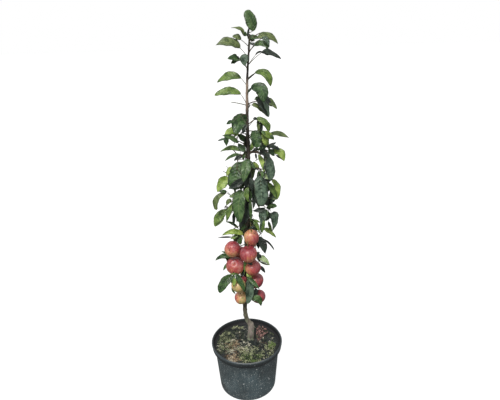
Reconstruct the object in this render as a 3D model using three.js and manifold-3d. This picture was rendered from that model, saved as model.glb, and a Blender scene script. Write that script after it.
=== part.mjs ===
// A columnar fruit tree in its nursery pot: pot, soil, trunk, short boughs and masses of foliage.
// Millimetres, +Z up. The origin is the centre of the pot's flat underside.
// Azimuths are in degrees: 0 is +X (right), 90 is +Y (back), 180 is left and -90 is the front.
import * as THREE from 'three';
import Module from 'manifold-3d';
import { mergeVertices } from 'three/addons/utils/BufferGeometryUtils.js';

const wasm = await Module();
wasm.setup();

// Clearance between two pieces that touch.
const GAP = 0.4;

// The nursery pot: a tapered body, a ledge, and a taller band that stands out round the rim.
const POT = {
  sides: 40,
  footRadius: 110.5,
  footChamfer: 2,
  shoulderRadius: 127.6,
  shoulderHeight: 180.5,
  bandRadius: 138.5,
  rimRadius: 140,
  height: 203,
  rimRound: 1.3,
  wall: 2.5,
  bandWall: 4,
  floor: 3,
  drainHoles: 8,
  drainSides: 12,
  drainDiameter: 12,
  drainCircle: 92,
};

// The soil fills the pot to just under the ledge, flat round the trunk and uneven elsewhere.
const SOIL = {
  height: 182,
  edgeDrop: 3,
  flatRadius: 50,
  rings: [0.22, 0.45, 0.68, 0.88],
  bump: 4.5,
  bumpLength: 60,
  seed: 3,
};

// The rooted stub that the tree is grafted on: height above the soil, radius at that height.
const STUB = {
  sides: 12,
  x: 15,
  y: 30,
  leanX: 4,
  rings: [[0, 18], [4, 15.8], [12, 13.8], [40, 12.6], [66, 13], [78, 12.2], [81, 9.8]],
  uneven: 0.07,
  seed: 5,
};

// The grafted stem, which leaves the stub on its left and runs up to the leader's tip:
// height, sideways, away, radius.
const STEM = {
  sides: 10,
  stations: 20,
  samples: 400,
  line: [
    [238, 14, 29, 7.8],
    [272, 5, 28.3, 7.7],
    [300, -2.5, 27.4, 7.4],
    [330, -4, 27, 7.2],
    [375, -2, 26, 6.9],
    [633, 10, 20, 6.2],
    [792, 18, 17, 5.8],
    [957, 26, 13, 5.2],
    [1060, 25, 11, 4.2],
    [1122, 26, 10, 3.9],
    [1205, 28, 8, 2.9],
    [1285, 35, 6.5, 2.3],
    [1345, 40, 5, 1.8],
  ],
};

// Short boughs: name, height where it leaves the stem, azimuth, length outward, rise.
const BOUGH = { sides: 8, stations: 4, footRadius: 4.4, endRadius: 2.8, arch: 0.15, carries: 0.9 };
const BOUGHS = [
  ['bough_back_upper', 1010, 95, 42, 20],
  ['bough_right_upper', 968, -10, 44, -8],
  ['bough_left_upper', 948, 195, 42, 12],
  ['bough_right_middle', 902, -20, 44, 6],
  ['bough_left_middle', 862, 200, 46, 8],
  ['bough_right_lower', 782, -8, 44, 6],
  ['bough_left_lower', 786, 178, 44, 6],
  ['bough_front_fruiting', 716, -70, 30, 8],
];

// How a mass of each habit swells along its spine: place on the spine, share of the full size.
// A leader leaf has almost no stalk, a leaf has a long bare one, and a spray or a fruit cluster
// starts broad on its carrier.
const HABITS = {
  leader: {
    uneven: 0.04,
    rings: [[0.02, 0.1], [0.1, 0.14], [0.24, 0.7], [0.5, 1], [0.74, 0.94], [0.92, 0.52]],
  },
  leaf: {
    uneven: 0.06,
    rings: [[0.03, 0.1], [0.24, 0.1], [0.36, 0.7], [0.56, 1], [0.76, 0.82], [0.92, 0.42]],
  },
  spray: {
    uneven: 0.16,
    rings: [[0.05, 0.24], [0.2, 0.6], [0.4, 0.95], [0.6, 1], [0.8, 0.78], [0.94, 0.4]],
  },
  fruit: {
    uneven: 0.08,
    rings: [[0.06, 0.3], [0.2, 0.78], [0.42, 1], [0.64, 0.96], [0.86, 0.84], [0.97, 0.46]],
  },
};
const MASS_SIDES = 8;
const STALK_RADIUS = 1.6;

// The masses: name, habit, the bough or the height on the stem that carries it, azimuth,
// middle of its spine [out, up] and tip [out, up] from the stem at that height,
// width, depth, roll about the spine.
const MASSES = [
  ['foliage_leader_tip', 'leader', 1345, 180, [-1, 34], [9, 65], 42, 9, 90],
  ['foliage_young_leaf', 'leaf', 1338, 200, [28, 15], [60, 24], 14, 7, 0],
  ['foliage_top_right_1', 'leaf', 1322, 20, [51, 24], [96, -8], 30, 12, 40],
  ['foliage_top_right_2', 'leaf', 1287, -30, [41, 30], [73, 15], 34, 12, 55],
  ['foliage_top_left_1', 'leaf', 1275, 195, [51, 50], [102, 38], 38, 16, 60],
  ['foliage_top_right_3', 'leaf', 1257, 22, [59, 36], [116, 9], 26, 11, 35],
  ['foliage_top_left_2', 'leaf', 1236, 215, [27, 32], [70, 39], 40, 14, 70],
  ['foliage_top_right_4', 'leaf', 1205, -15, [53, 33], [77, -19], 36, 12, 50],
  ['foliage_top_left_3', 'leaf', 1187, 165, [45, 40], [97, 13], 34, 12, 55],
  ['foliage_top_right_5', 'leaf', 1161, -45, [52, 30], [75, -16], 48, 14, 30],
  ['foliage_top_left_4', 'leaf', 1133, 190, [51, 49], [103, 30], 34, 12, 55],
  ['foliage_top_right_6', 'spray', 1126, 5, [54, 10], [90, -38], 50, 26, 45],
  ['foliage_upper_left_1', 'leaf', 1092, 240, [46, 2], [60, -52], 54, 16, 0],
  ['foliage_upper_right_1', 'leaf', 1057, 10, [50, 26], [70, -28], 40, 16, 20],
  ['foliage_upper_right_2', 'spray', 1016, -42, [60, 32], [72, -28], 70, 24, 0],
  ['foliage_upper_right_3', 'leaf', 'bough_right_upper', 25, [100, 54], [158, 33], 26, 12, 20],
  ['foliage_upper_left_2', 'spray', 975, 195, [60, 58], [98, 32], 58, 26, 60],
  ['foliage_upper_right_4', 'spray', 'bough_right_upper', 0, [84, 22], [123, -33], 46, 22, 40],
  ['foliage_upper_right_5', 'spray', 'bough_right_upper', -38, [84, 6], [86, -88], 50, 20, 0],
  ['foliage_upper_left_3', 'spray', 'bough_left_upper', 165, [66, 28], [100, 4], 44, 22, 40],
  ['foliage_middle_left_1', 'spray', 'bough_left_upper', 225, [58, -20], [74, -108], 72, 26, 0],
  ['foliage_middle_left_2', 'leaf', 'bough_left_upper', 172, [90, -48], [116, -130], 40, 18, 30],
  ['foliage_middle_front_1', 'spray', 928, -95, [34, -42], [26, -140], 48, 20, 0],
  ['foliage_middle_right_1', 'spray', 'bough_right_middle', -48, [68, -12], [66, -120], 62, 24, 0],
  ['foliage_middle_right_2', 'spray', 'bough_right_middle', 5, [90, -20], [104, -114], 52, 22, 0],
  ['foliage_middle_left_3', 'leaf', 'bough_left_middle', 195, [92, -26], [121, -94], 38, 18, 20],
  ['foliage_middle_front_2', 'spray', 'bough_left_middle', 240, [56, -32], [62, -130], 56, 22, 0],
  ['foliage_lower_left_1', 'spray', 'bough_left_lower', 172, [84, -22], [122, -100], 56, 24, 20],
  ['foliage_lower_right_1', 'spray', 'bough_right_lower', 15, [86, -34], [97, -130], 52, 24, 0],
  ['foliage_lower_right_2', 'spray', 'bough_right_lower', -45, [60, -22], [88, -112], 54, 22, 0],
  ['foliage_lower_left_2', 'leaf', 698, 190, [50, -12], [110, -46], 42, 16, 40],
  ['foliage_back_1', 'spray', 'bough_back_upper', 60, [66, 14], [92, -66], 52, 26, 0],
  ['foliage_back_2', 'spray', 'bough_back_upper', 125, [64, 2], [84, -84], 52, 26, 0],
  ['foliage_back_3', 'spray', 888, 88, [62, 20], [100, -74], 60, 28, 0],
  ['foliage_back_4', 'spray', 790, 118, [58, 16], [94, -78], 58, 28, 0],
  ['foliage_back_5', 'spray', 700, 72, [60, 14], [92, -74], 56, 28, 0],
  ['fruit_cluster_front', 'fruit', 'bough_front_fruiting', -74, [46, -68], [60, -142], 62, 60, 0],
  ['fruit_cluster_left', 'fruit', 648, 208, [60, -38], [44, -146], 62, 60, 0],
  ['fruit_cluster_right', 'fruit', 580, -38, [45, -46], [44, -152], 60, 58, 0],
  ['fruit_cluster_back', 'fruit', 626, 92, [50, -44], [52, -150], 62, 58, 0],
  ['fruit_cluster_low_left', 'fruit', 514, 243, [60, -34], [38, -140], 58, 54, 0],
  ['fruit_cluster_low_right', 'fruit', 442, -17, [48, -16], [60, -82], 60, 56, 0],
  ['foliage_fruit_right_1', 'leaf', 670, 5, [56, -14], [88, -88], 42, 18, 10],
  ['foliage_fruit_left_1', 'leaf', 591, 176, [66, -10], [118, -42], 38, 16, 40],
  ['foliage_fruit_right_2', 'leaf', 575, 22, [58, -8], [102, -74], 38, 16, 20],
  ['foliage_fruit_left_2', 'leaf', 506, 202, [66, 4], [112, -70], 48, 18, 10],
  ['foliage_fruit_front_1', 'leaf', 482, -68, [46, -12], [24, -118], 44, 16, 0],
];

const FINISH = {
  pot: { color: 0x33383b, roughness: 0.55, metalness: 0 },
  soil: { color: 0x3b3a24, roughness: 1, metalness: 0 },
  bark: { color: 0x5a5142, roughness: 0.85, metalness: 0 },
  leader: { color: 0x56823c, roughness: 0.5, metalness: 0 },
  leaf: { color: 0x6f9a3c, roughness: 0.5, metalness: 0 },
  spray: { color: 0x3f6a3c, roughness: 0.5, metalness: 0 },
  fruit: { color: 0xb9555a, roughness: 0.35, metalness: 0 },
};

const UP = new THREE.Vector3(0, 0, 1);

/** The level direction at an azimuth. */
function heading(azimuth) {
  const angle = THREE.MathUtils.degToRad(azimuth);
  return new THREE.Vector3(Math.cos(angle), Math.sin(angle), 0);
}

/** A steady value from -1 to 1 that varies round and along a mass, different for each seed. */
function ripple(seed, angle, along) {
  const round = Math.sin(2 * angle + 1.9 * seed) + Math.sin(3 * angle - 2.3 * seed + 5 * along);
  return (round + Math.sin(9 * along + 4.1 * seed + angle)) / 3;
}

/** Value at a place on a list of [place, value] pairs, straight between neighbours. */
function between(pairs, place) {
  const next = pairs.findIndex(([at]) => at >= place);
  if (next < 0) return pairs[pairs.length - 1][1];
  if (next === 0) return pairs[0][1];
  const [a, from] = pairs[next - 1];
  const [b, to] = pairs[next];
  return THREE.MathUtils.mapLinear(place, a, b, from, to);
}

/** Makes a closed three.js geometry a solid. */
function toSolid(geometry) {
  const bare = geometry.clone();
  bare.deleteAttribute('normal');
  bare.deleteAttribute('uv');
  const merged = mergeVertices(bare, 1e-4);
  const corners = merged.index.array;
  const triangles = [];
  for (let i = 0; i < corners.length; i += 3) {
    const [a, b, c] = [corners[i], corners[i + 1], corners[i + 2]];
    if (a !== b && b !== c && c !== a) triangles.push(a, b, c);
  }
  const mesh = new wasm.Mesh({
    numProp: 3,
    vertProperties: new Float32Array(merged.attributes.position.array),
    triVerts: new Uint32Array(triangles),
  });
  return new wasm.Manifold(mesh);
}

/** The largest body of a solid, which drops the slivers that a cut leaves behind. */
function largest(solid) {
  const bodies = solid.decompose();
  return bodies.reduce((best, body) => (body.volume() > best.volume() ? body : best));
}

/** Makes a solid a named mesh with its finish. */
function toMesh(name, solid, finish) {
  const { vertProperties, triVerts } = solid.getMesh();
  const geometry = new THREE.BufferGeometry();
  geometry.setAttribute('position', new THREE.BufferAttribute(vertProperties, 3));
  geometry.setIndex(new THREE.BufferAttribute(triVerts, 1));
  geometry.computeVertexNormals();
  const mesh = new THREE.Mesh(geometry, new THREE.MeshStandardMaterial({ ...finish, flatShading: true }));
  mesh.name = name;
  return mesh;
}

/** Whether two solids' boxes come near each other. */
function near(a, b) {
  const p = a.boundingBox();
  const q = b.boundingBox();
  return [0, 1, 2].every((k) => p.min[k] < q.max[k] + 1 && q.min[k] < p.max[k] + 1);
}

/**
 * Bends a straight turned solid along a curve. rings are [place, share], side is level and square
 * to the curve, and size(share, place) gives the half width and half depth there. A level solid
 * keeps its sections horizontal however the curve leans. grow adds a margin on every side.
 */
function sweep({
  curve, side, roll = 0, level = false, rings, sides, flatEnds, size, seed = 0, uneven = 0, grow,
}) {
  const start = flatEnds ? rings[0][0] : 0;
  const end = flatEnds ? rings[rings.length - 1][0] : 1;
  const wall = rings.map(([place]) => new THREE.Vector2(1, place));
  const profile = [new THREE.Vector2(0, start), ...wall, new THREE.Vector2(0, end)];
  const geometry = new THREE.LatheGeometry(profile, sides);
  const position = geometry.attributes.position;
  const vertex = new THREE.Vector3();
  for (let i = 0; i < position.count; i += 1) {
    vertex.fromBufferAttribute(position, i);
    const along = vertex.y;
    const tangent = level ? UP : curve.getTangent(along);
    const across = side.clone().applyAxisAngle(tangent, THREE.MathUtils.degToRad(roll));
    const normal = across.clone().cross(tangent).normalize();
    const [halfWidth, halfDepth] = size(between(rings, along), along);
    const swell = 1 + uneven * ripple(seed, Math.atan2(vertex.z, vertex.x), along);
    const place = curve.getPoint(along);
    place.addScaledVector(across, vertex.x * (halfWidth * swell + grow));
    place.addScaledVector(normal, vertex.z * (halfDepth * swell + grow));
    if (along <= start) place.addScaledVector(tangent, -grow);
    if (along >= end) place.addScaledVector(tangent, grow);
    position.setXYZ(i, place.x, place.y, place.z);
  }
  return toSolid(geometry);
}

const stemCurve = new THREE.CatmullRomCurve3(STEM.line.map(([z, x, y]) => new THREE.Vector3(x, y, z)));
const stemPlaces = Array.from({ length: STEM.samples + 1 }, (_, i) => i / STEM.samples)
  .map((place) => [stemCurve.getPoint(place).z, place]);
const stemRadii = STEM.line.map(([z, , , radius]) => [z, radius]);

/** The point on the stem's axis at a height. */
function stemAt(height) {
  return stemCurve.getPoint(between(stemPlaces, height));
}

/** The pot, turned in one piece, with its drain holes cut through the floor. */
function makePot() {
  const slope = (POT.shoulderRadius - POT.footRadius) / POT.shoulderHeight;
  const innerBand = POT.bandRadius - POT.bandWall;
  const innerFoot = POT.footRadius + slope * POT.floor - POT.wall;
  const ledge = POT.shoulderHeight + POT.wall;
  const outline = [
    [0, 0],
    [POT.footRadius - POT.footChamfer, 0],
    [POT.footRadius, POT.footChamfer],
    [POT.shoulderRadius, POT.shoulderHeight],
    [POT.bandRadius, POT.shoulderHeight],
    [POT.rimRadius, POT.height - POT.rimRound],
    [POT.rimRadius - POT.rimRound, POT.height],
    [innerBand + POT.rimRound, POT.height],
    [innerBand, POT.height - POT.rimRound],
    [innerBand - POT.rimRound, ledge],
    [POT.shoulderRadius - POT.wall, ledge],
    [innerFoot, POT.floor],
    [0, POT.floor],
  ];
  const body = new THREE.LatheGeometry(outline.map(([r, z]) => new THREE.Vector2(r, z)), POT.sides);
  body.rotateX(Math.PI / 2);
  let solid = toSolid(body);
  for (let i = 0; i < POT.drainHoles; i += 1) {
    const radius = POT.drainDiameter / 2;
    const hole = new THREE.CylinderGeometry(radius, radius, 4 * POT.floor, POT.drainSides);
    hole.rotateX(Math.PI / 2);
    const spot = heading((360 / POT.drainHoles) * (i + 0.5)).multiplyScalar(POT.drainCircle);
    hole.translate(spot.x, spot.y, 0);
    solid = solid.subtract(toSolid(hole));
  }
  return solid;
}

/** The soil, as deep as the pot, with mossy rises away from the trunk. */
function makeSoil() {
  const slope = (POT.shoulderRadius - POT.footRadius) / POT.shoulderHeight;
  const foot = POT.footRadius + slope * POT.floor - POT.wall - GAP;
  const edgeHeight = SOIL.height - SOIL.edgeDrop;
  const edge = foot + slope * (edgeHeight - POT.floor);
  const top = SOIL.rings.map((share) => [edge * share, SOIL.height]);
  const outline = [
    [0, POT.floor + GAP],
    [foot, POT.floor + GAP],
    [edge, edgeHeight],
    ...top.reverse(),
    [0, SOIL.height],
  ];
  const body = new THREE.LatheGeometry(outline.map(([r, z]) => new THREE.Vector2(r, z)), POT.sides);
  body.rotateX(Math.PI / 2);
  const position = body.attributes.position;
  const spot = new THREE.Vector3();
  for (let i = 0; i < position.count; i += 1) {
    spot.fromBufferAttribute(position, i);
    const away = Math.hypot(spot.x - STUB.x, spot.y - STUB.y) - SOIL.flatRadius;
    const isTop = spot.z > SOIL.height - GAP;
    const rise = SOIL.bump * ripple(SOIL.seed, Math.atan2(spot.y, spot.x), away / SOIL.bumpLength);
    if (isTop && away > 0) position.setZ(i, spot.z + rise);
  }
  return toSolid(body);
}

/** The rooted stub with its flared foot and sloping cut top. */
function makeStub(grow) {
  const [topHeight] = STUB.rings[STUB.rings.length - 1];
  const foot = SOIL.height + GAP;
  const start = new THREE.Vector3(STUB.x, STUB.y, foot);
  const end = new THREE.Vector3(STUB.x + STUB.leanX, STUB.y, foot + topHeight);
  const rings = STUB.rings.map(([z]) => [z / topHeight, 1]);
  const radii = STUB.rings.map(([z, radius]) => [z / topHeight, radius]);
  return sweep({
    curve: new THREE.LineCurve3(start, end),
    side: new THREE.Vector3(0, 1, 0),
    level: true,
    rings,
    sides: STUB.sides,
    flatEnds: true,
    size: (_, along) => [between(radii, along), between(radii, along)],
    seed: STUB.seed,
    uneven: STUB.uneven,
    grow,
  });
}

/** The grafted stem, tapering from the stub to the leader's tip. */
function makeStem(grow) {
  const rings = Array.from({ length: STEM.stations }, (_, i) => [i / (STEM.stations - 1), 1]);
  return sweep({
    curve: stemCurve,
    side: new THREE.Vector3(0, 1, 0),
    rings,
    sides: STEM.sides,
    flatEnds: true,
    size: (_, along) => {
      const radius = between(stemRadii, stemCurve.getPoint(along).z);
      return [radius, radius];
    },
    grow,
  });
}

/** The middle line of a bough, from the stem's axis out to its end. */
function boughCurve([, height, azimuth, length, rise]) {
  const start = stemAt(height);
  const end = start.clone().addScaledVector(heading(azimuth), length).addScaledVector(UP, rise);
  const bend = start.clone().lerp(end, 0.5).addScaledVector(UP, length * BOUGH.arch);
  return new THREE.QuadraticBezierCurve3(start, bend, end);
}

/** One bough, tapering away from the stem. */
function makeBough(bough, grow) {
  const [, , azimuth] = bough;
  const rings = Array.from({ length: BOUGH.stations }, (_, i) => [i / (BOUGH.stations - 1), 1]);
  return sweep({
    curve: boughCurve(bough),
    side: heading(azimuth + 90),
    rings,
    sides: BOUGH.sides,
    flatEnds: true,
    size: (_, along) => {
      const radius = THREE.MathUtils.lerp(BOUGH.footRadius, BOUGH.endRadius, along);
      return [radius, radius];
    },
    grow,
  });
}

/** The spine of a mass: an arch from its carrier through its middle to its tip. */
function massCurve(carrier, azimuth, middle, tip) {
  const bough = BOUGHS.find(([name]) => name === carrier);
  const base = stemAt(bough ? bough[1] : carrier);
  const start = bough ? boughCurve(bough).getPoint(BOUGH.carries) : base;
  const place = ([out, up]) => base.clone().addScaledVector(heading(azimuth), out).addScaledVector(UP, up);
  const end = place(tip);
  const control = place(middle).multiplyScalar(2).sub(start.clone().add(end).multiplyScalar(0.5));
  return new THREE.QuadraticBezierCurve3(start, control, end);
}

/** One mass of foliage or fruit, before its neighbours are cut from it. */
function makeMass([, habit, carrier, azimuth, middle, tip, width, depth, roll], seed, grow) {
  const { uneven, rings } = HABITS[habit];
  const swell = (full, share) => Math.max(STALK_RADIUS, (share * full) / 2);
  return sweep({
    curve: massCurve(carrier, azimuth, middle, tip),
    side: heading(azimuth + 90),
    roll,
    rings,
    sides: MASS_SIDES,
    flatEnds: false,
    size: (share) => [swell(width, share), swell(depth, share)],
    seed,
    uneven,
    grow,
  });
}

/** Cuts from a solid every grown neighbour that comes near it. */
function clearOf(solid, neighbours) {
  let cut = solid;
  for (const neighbour of neighbours) {
    if (near(cut, neighbour)) cut = cut.subtract(neighbour);
  }
  return largest(cut);
}

const tree = new THREE.Group();
tree.add(toMesh('pot', makePot(), FINISH.pot));
tree.add(toMesh('soil', makeSoil(), FINISH.soil));
tree.add(toMesh('trunk', makeStub(0).add(makeStem(0)), FINISH.bark));

const taken = [makeStub(GAP).add(makeStem(GAP))];
for (const bough of BOUGHS) {
  tree.add(toMesh(bough[0], clearOf(makeBough(bough, 0), taken), FINISH.bark));
}
taken.push(...BOUGHS.map((bough) => makeBough(bough, GAP)));

MASSES.forEach((mass, i) => {
  tree.add(toMesh(mass[0], clearOf(makeMass(mass, i, 0), taken), FINISH[mass[1]]));
  taken.push(makeMass(mass, i, GAP));
});

export default tree;
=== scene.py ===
"""A columnar fruit tree in its nursery pot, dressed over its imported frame.

Settings are in millimetres and meshes in metres, +Z up, with the origin under the middle of the
pot. +X is right, -Y is the front and +Y the back.
"""

import logging
import math
import random
from dataclasses import dataclass, field
from enum import Enum
from functools import lru_cache
from typing import Iterable, Optional, Sequence

import bmesh
import bpy
import numpy as np
from mathutils import Matrix, Vector, noise
from mathutils.bvhtree import BVHTree


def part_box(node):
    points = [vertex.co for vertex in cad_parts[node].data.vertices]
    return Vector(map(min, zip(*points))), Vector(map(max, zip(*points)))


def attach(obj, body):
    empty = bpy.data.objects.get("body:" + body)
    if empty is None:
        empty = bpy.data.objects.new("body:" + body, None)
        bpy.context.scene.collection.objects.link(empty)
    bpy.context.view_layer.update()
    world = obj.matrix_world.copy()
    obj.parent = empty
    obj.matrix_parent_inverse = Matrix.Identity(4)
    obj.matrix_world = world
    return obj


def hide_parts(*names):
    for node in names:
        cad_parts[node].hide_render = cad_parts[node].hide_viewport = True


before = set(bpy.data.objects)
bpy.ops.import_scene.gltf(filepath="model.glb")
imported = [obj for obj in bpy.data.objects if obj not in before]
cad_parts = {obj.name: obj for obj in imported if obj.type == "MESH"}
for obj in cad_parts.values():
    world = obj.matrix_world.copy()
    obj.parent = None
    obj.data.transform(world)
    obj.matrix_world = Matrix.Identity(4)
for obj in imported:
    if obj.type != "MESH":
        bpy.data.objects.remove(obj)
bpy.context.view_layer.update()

LOG = logging.getLogger("tree")
MM = 0.001
SENSOR = 36.0
GOLDEN_ANGLE = math.radians(137.5)
LEAF_MAP = "leaf_place"
FRUIT_PLACE = "fruit_place"
FRUIT_BLUSH = "fruit_blush"
UP = np.array([0.0, 0.0, 1.0])
VIEWER = np.array([0.0, -1.0, 0.0])

Array = np.ndarray
Socket = bpy.types.NodeSocket
Material = bpy.types.Material
Rgb = tuple[int, int, int]
Spot = tuple[float, float, float]
Pair = tuple[float, float]


def metres(spot: Sequence[float]) -> Array:
    """Return a place given in millimetres as an array in metres."""
    return np.array(spot, float) * MM


def unit(vector: Array) -> Array:
    """Return vectors scaled to length one along their last axis."""
    length = np.linalg.norm(vector, axis=-1, keepdims=True)
    return vector / np.maximum(length, 1e-12)


def linear(rgb: Rgb) -> tuple[float, float, float, float]:
    """Turn a screen colour of three bytes into linear red, green, blue and alpha.

    Args:
        rgb: The screen colour, each part from 0 to 255.

    Returns:
        The linear colour.
    """
    parts = [byte / 255 for byte in rgb]
    curve = [c / 12.92 if c <= 0.04045 else ((c + 0.055) / 1.055) ** 2.4 for c in parts]
    return (*curve, 1.0)


def lumps(points: Array, scale: float, shift: float = 0.0) -> Array:
    """Read smooth noise at each point.

    Args:
        points: Places in metres.
        scale: How many lumps there are in a metre.
        shift: Moves the whole field, so that two readings differ.

    Returns:
        A value from about -1 to 1 for each point.
    """
    offset = Vector((shift, 2 * shift, -shift))
    return np.array([noise.noise(Vector(p) * scale + offset) for p in points])


@dataclass(frozen=True)
class Arc:
    """A quadratic curve from its start to its end."""

    start: Array
    control: Array
    end: Array

    @classmethod
    def bowed(cls, start: Array, end: Array, bow: Array) -> "Arc":
        """Make the arc whose middle stands off its chord by the vector bow."""
        return cls(start, (start + end) / 2 + 2 * bow, end)

    def at(self, place: Array) -> Array:
        """Return the points at places from 0 to 1."""
        t = np.asarray(place, float)[..., None]
        return (1 - t) ** 2 * self.start + 2 * t * (1 - t) * self.control + t**2 * self.end

    def way(self, place: Array) -> Array:
        """Return the unit directions at places from 0 to 1."""
        t = np.asarray(place, float)[..., None]
        return unit((1 - t) * (self.control - self.start) + t * (self.end - self.control))

    def part(self, first: float, last: float) -> "Arc":
        """Return the stretch of the arc between two places as an arc of its own.

        Args:
            first: Where the stretch starts, from 0 to 1.
            last: Where it ends.

        Returns:
            The shorter arc.
        """
        ends = self.at(np.array([first, last]))
        middle = self.at(np.array([(first + last) / 2]))[0]
        return Arc(ends[0], 2 * middle - (ends[0] + ends[1]) / 2, ends[1])


@dataclass
class Pattern:
    """A small closed mesh in flat coordinates of its own, bent into place many times."""

    points: Array
    faces: list[tuple[int, ...]]
    slots: list[int]

    @classmethod
    def taken_from(cls, bm: bmesh.types.BMesh) -> "Pattern":
        """Read a pattern out of a bmesh and free it.

        Args:
            bm: The bmesh, which is freed.

        Returns:
            The pattern.
        """
        bm.verts.index_update()
        points = np.array([v.co for v in bm.verts], float)
        faces = [tuple(v.index for v in f.verts) for f in bm.faces]
        slots = [f.material_index for f in bm.faces]
        bm.free()
        return cls(points, faces, slots)


@lru_cache(maxsize=None)
def leaf_pattern(along: int, across: int) -> Pattern:
    """Make the flat closed leaf: x runs from base to tip, y across and z is 0 above, -1 below.

    Args:
        along: How many faces it has from base to tip.
        across: How many it has from edge to edge.

    Returns:
        The pattern, with its underside in the second slot.
    """
    bm = bmesh.new()
    bmesh.ops.create_grid(bm, x_segments=along, y_segments=across, size=0.5)
    bmesh.ops.solidify(bm, geom=bm.verts[:] + bm.edges[:] + bm.faces[:], thickness=1.0)
    bm.normal_update()
    for face in bm.faces:
        face.material_index = 1 if face.normal.z < -0.5 else 0
    return Pattern.taken_from(bm)


@lru_cache(maxsize=None)
def tube_pattern(sides: int, stations: int) -> Pattern:
    """Make the closed tube: x and y on the unit circle, and z the number of the station.

    Args:
        sides: How many sides it has.
        stations: How many rings of points it has.

    Returns:
        The pattern.
    """
    bm = bmesh.new()
    bmesh.ops.create_circle(bm, cap_ends=True, segments=sides, radius=1.0)
    rim = bm.edges[:]
    for _ in range(stations - 1):
        grown = bmesh.ops.extrude_edge_only(bm, edges=rim)["geom"]
        ring = {part for part in grown if isinstance(part, bmesh.types.BMVert)}
        edges = [part for part in grown if isinstance(part, bmesh.types.BMEdge)]
        rim = [edge for edge in edges if ring.issuperset(edge.verts)]
        bmesh.ops.translate(bm, verts=list(ring), vec=(0, 0, 1))
    bmesh.ops.holes_fill(bm, edges=rim, sides=sides)
    bmesh.ops.recalc_face_normals(bm, faces=bm.faces[:])
    return Pattern.taken_from(bm)


def spun(outline: Sequence[tuple[float, float]], segments: int) -> bmesh.types.BMesh:
    """Turn an outline of (radius, height) pairs about the upright axis into a closed body.

    Args:
        outline: The outline in millimetres, which starts and ends on the axis.
        segments: How many steps the full turn takes.

    Returns:
        The body as a bmesh in metres, with its faces outward.
    """
    bm = bmesh.new()
    line = [bm.verts.new((radius * MM, 0, height * MM)) for radius, height in outline]
    for first, second in zip(line, line[1:]):
        bm.edges.new((first, second))
    bmesh.ops.spin(
        bm,
        geom=bm.verts[:] + bm.edges[:],
        cent=(0, 0, 0),
        axis=(0, 0, 1),
        angle=math.tau,
        steps=segments,
        use_merge=True,
    )
    bmesh.ops.remove_doubles(bm, verts=bm.verts[:], dist=1e-7)
    bmesh.ops.recalc_face_normals(bm, faces=bm.faces[:])
    return bm


@lru_cache(maxsize=None)
def ball_pattern(subdivisions: int) -> Pattern:
    """Make a round lump of unit radius.

    Args:
        subdivisions: How often its faces are split.

    Returns:
        The pattern.
    """
    bm = bmesh.new()
    bmesh.ops.create_icosphere(bm, subdivisions=subdivisions, radius=1.0)
    return Pattern.taken_from(bm)


class Batch:
    """Many bent patterns gathered into one mesh."""

    def __init__(self, name: str) -> None:
        """Start an empty batch that will become the piece of that name.

        Args:
            name: The name of the piece that it becomes.
        """
        self.name = name
        self.points: list[Array] = []
        self.faces: list[tuple[int, ...]] = []
        self.slots: list[int] = []
        self.fields: dict[str, list[Array]] = {}
        self.count = 0

    def add(self, pattern: Pattern, points: Array, **fields: Array) -> None:
        """Add one bent copy of a pattern.

        Args:
            pattern: The mesh that was bent.
            points: Its vertices where they now lie, in metres.
            fields: Values to store on the vertices, by attribute name.
        """
        start = self.count
        self.points.append(points)
        self.faces.extend(tuple(start + i for i in face) for face in pattern.faces)
        self.slots.extend(pattern.slots)
        for name, values in fields.items():
            self.fields.setdefault(name, []).append(values)
        self.count += len(points)

    def piece(self, materials: Sequence[Material]) -> bpy.types.Object:
        """Make the batch one smooth mesh object with these materials.

        Args:
            materials: Its materials, by slot.

        Returns:
            The piece.
        """
        mesh = bpy.data.meshes.new(self.name)
        points = np.concatenate(self.points)
        mesh.from_pydata(points.tolist(), [], self.faces)
        mesh.polygons.foreach_set("material_index", self.slots)
        for name, values in self.fields.items():
            self._store(mesh, name, np.concatenate(values))
        return finished(self.name, mesh, materials)

    def _store(self, mesh: bpy.types.Mesh, name: str, values: Array) -> None:
        """Keep vertex values as a UV map, where they are pairs, or else as an attribute.

        Args:
            mesh: The mesh.
            name: The map's or attribute's name.
            values: A number, pair or triple for each vertex.
        """
        if values.ndim == 1:
            mesh.attributes.new(name, "FLOAT", "POINT").data.foreach_set("value", values)
        elif values.shape[1] == 3:
            layer = mesh.attributes.new(name, "FLOAT_VECTOR", "POINT")
            layer.data.foreach_set("vector", values.ravel())
        else:
            corners = np.zeros(len(mesh.loops), np.int32)
            mesh.loops.foreach_get("vertex_index", corners)
            layer = mesh.uv_layers.new(name=name)
            layer.data.foreach_set("uv", values[corners].ravel())


def finished(name: str, mesh: bpy.types.Mesh, materials: Sequence[Material]) -> bpy.types.Object:
    """Smooth a mesh, dress it and link it as an object at the origin.

    Args:
        name: The piece's name.
        mesh: The mesh, already in its place.
        materials: Its materials, by slot.

    Returns:
        The new object.
    """
    mesh.shade_smooth()
    for material in materials:
        mesh.materials.append(material)
    mesh.update()
    piece = bpy.data.objects.new(name, mesh)
    bpy.context.scene.collection.objects.link(piece)
    return piece


def mesh_of(name: str, bm: bmesh.types.BMesh) -> bpy.types.Mesh:
    """Make a bmesh a mesh and free it.

    Args:
        name: The mesh's name.
        bm: The bmesh, which is freed.

    Returns:
        The mesh.
    """
    mesh = bpy.data.meshes.new(name)
    bm.to_mesh(mesh)
    bm.free()
    return mesh


def settle(piece: bpy.types.Object, nodes: Sequence[str] = ()) -> None:
    """Give a piece its body, hide the frame nodes that it stands for, and report it.

    Args:
        piece: The finished piece.
        nodes: The frame nodes that it replaces.
    """
    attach(piece, "root")
    if nodes:
        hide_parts(*nodes)
    triangles = sum(len(face.vertices) - 2 for face in piece.data.polygons)
    LOG.info("%s: %d triangles, for %d nodes", piece.name, triangles, len(nodes))


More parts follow.
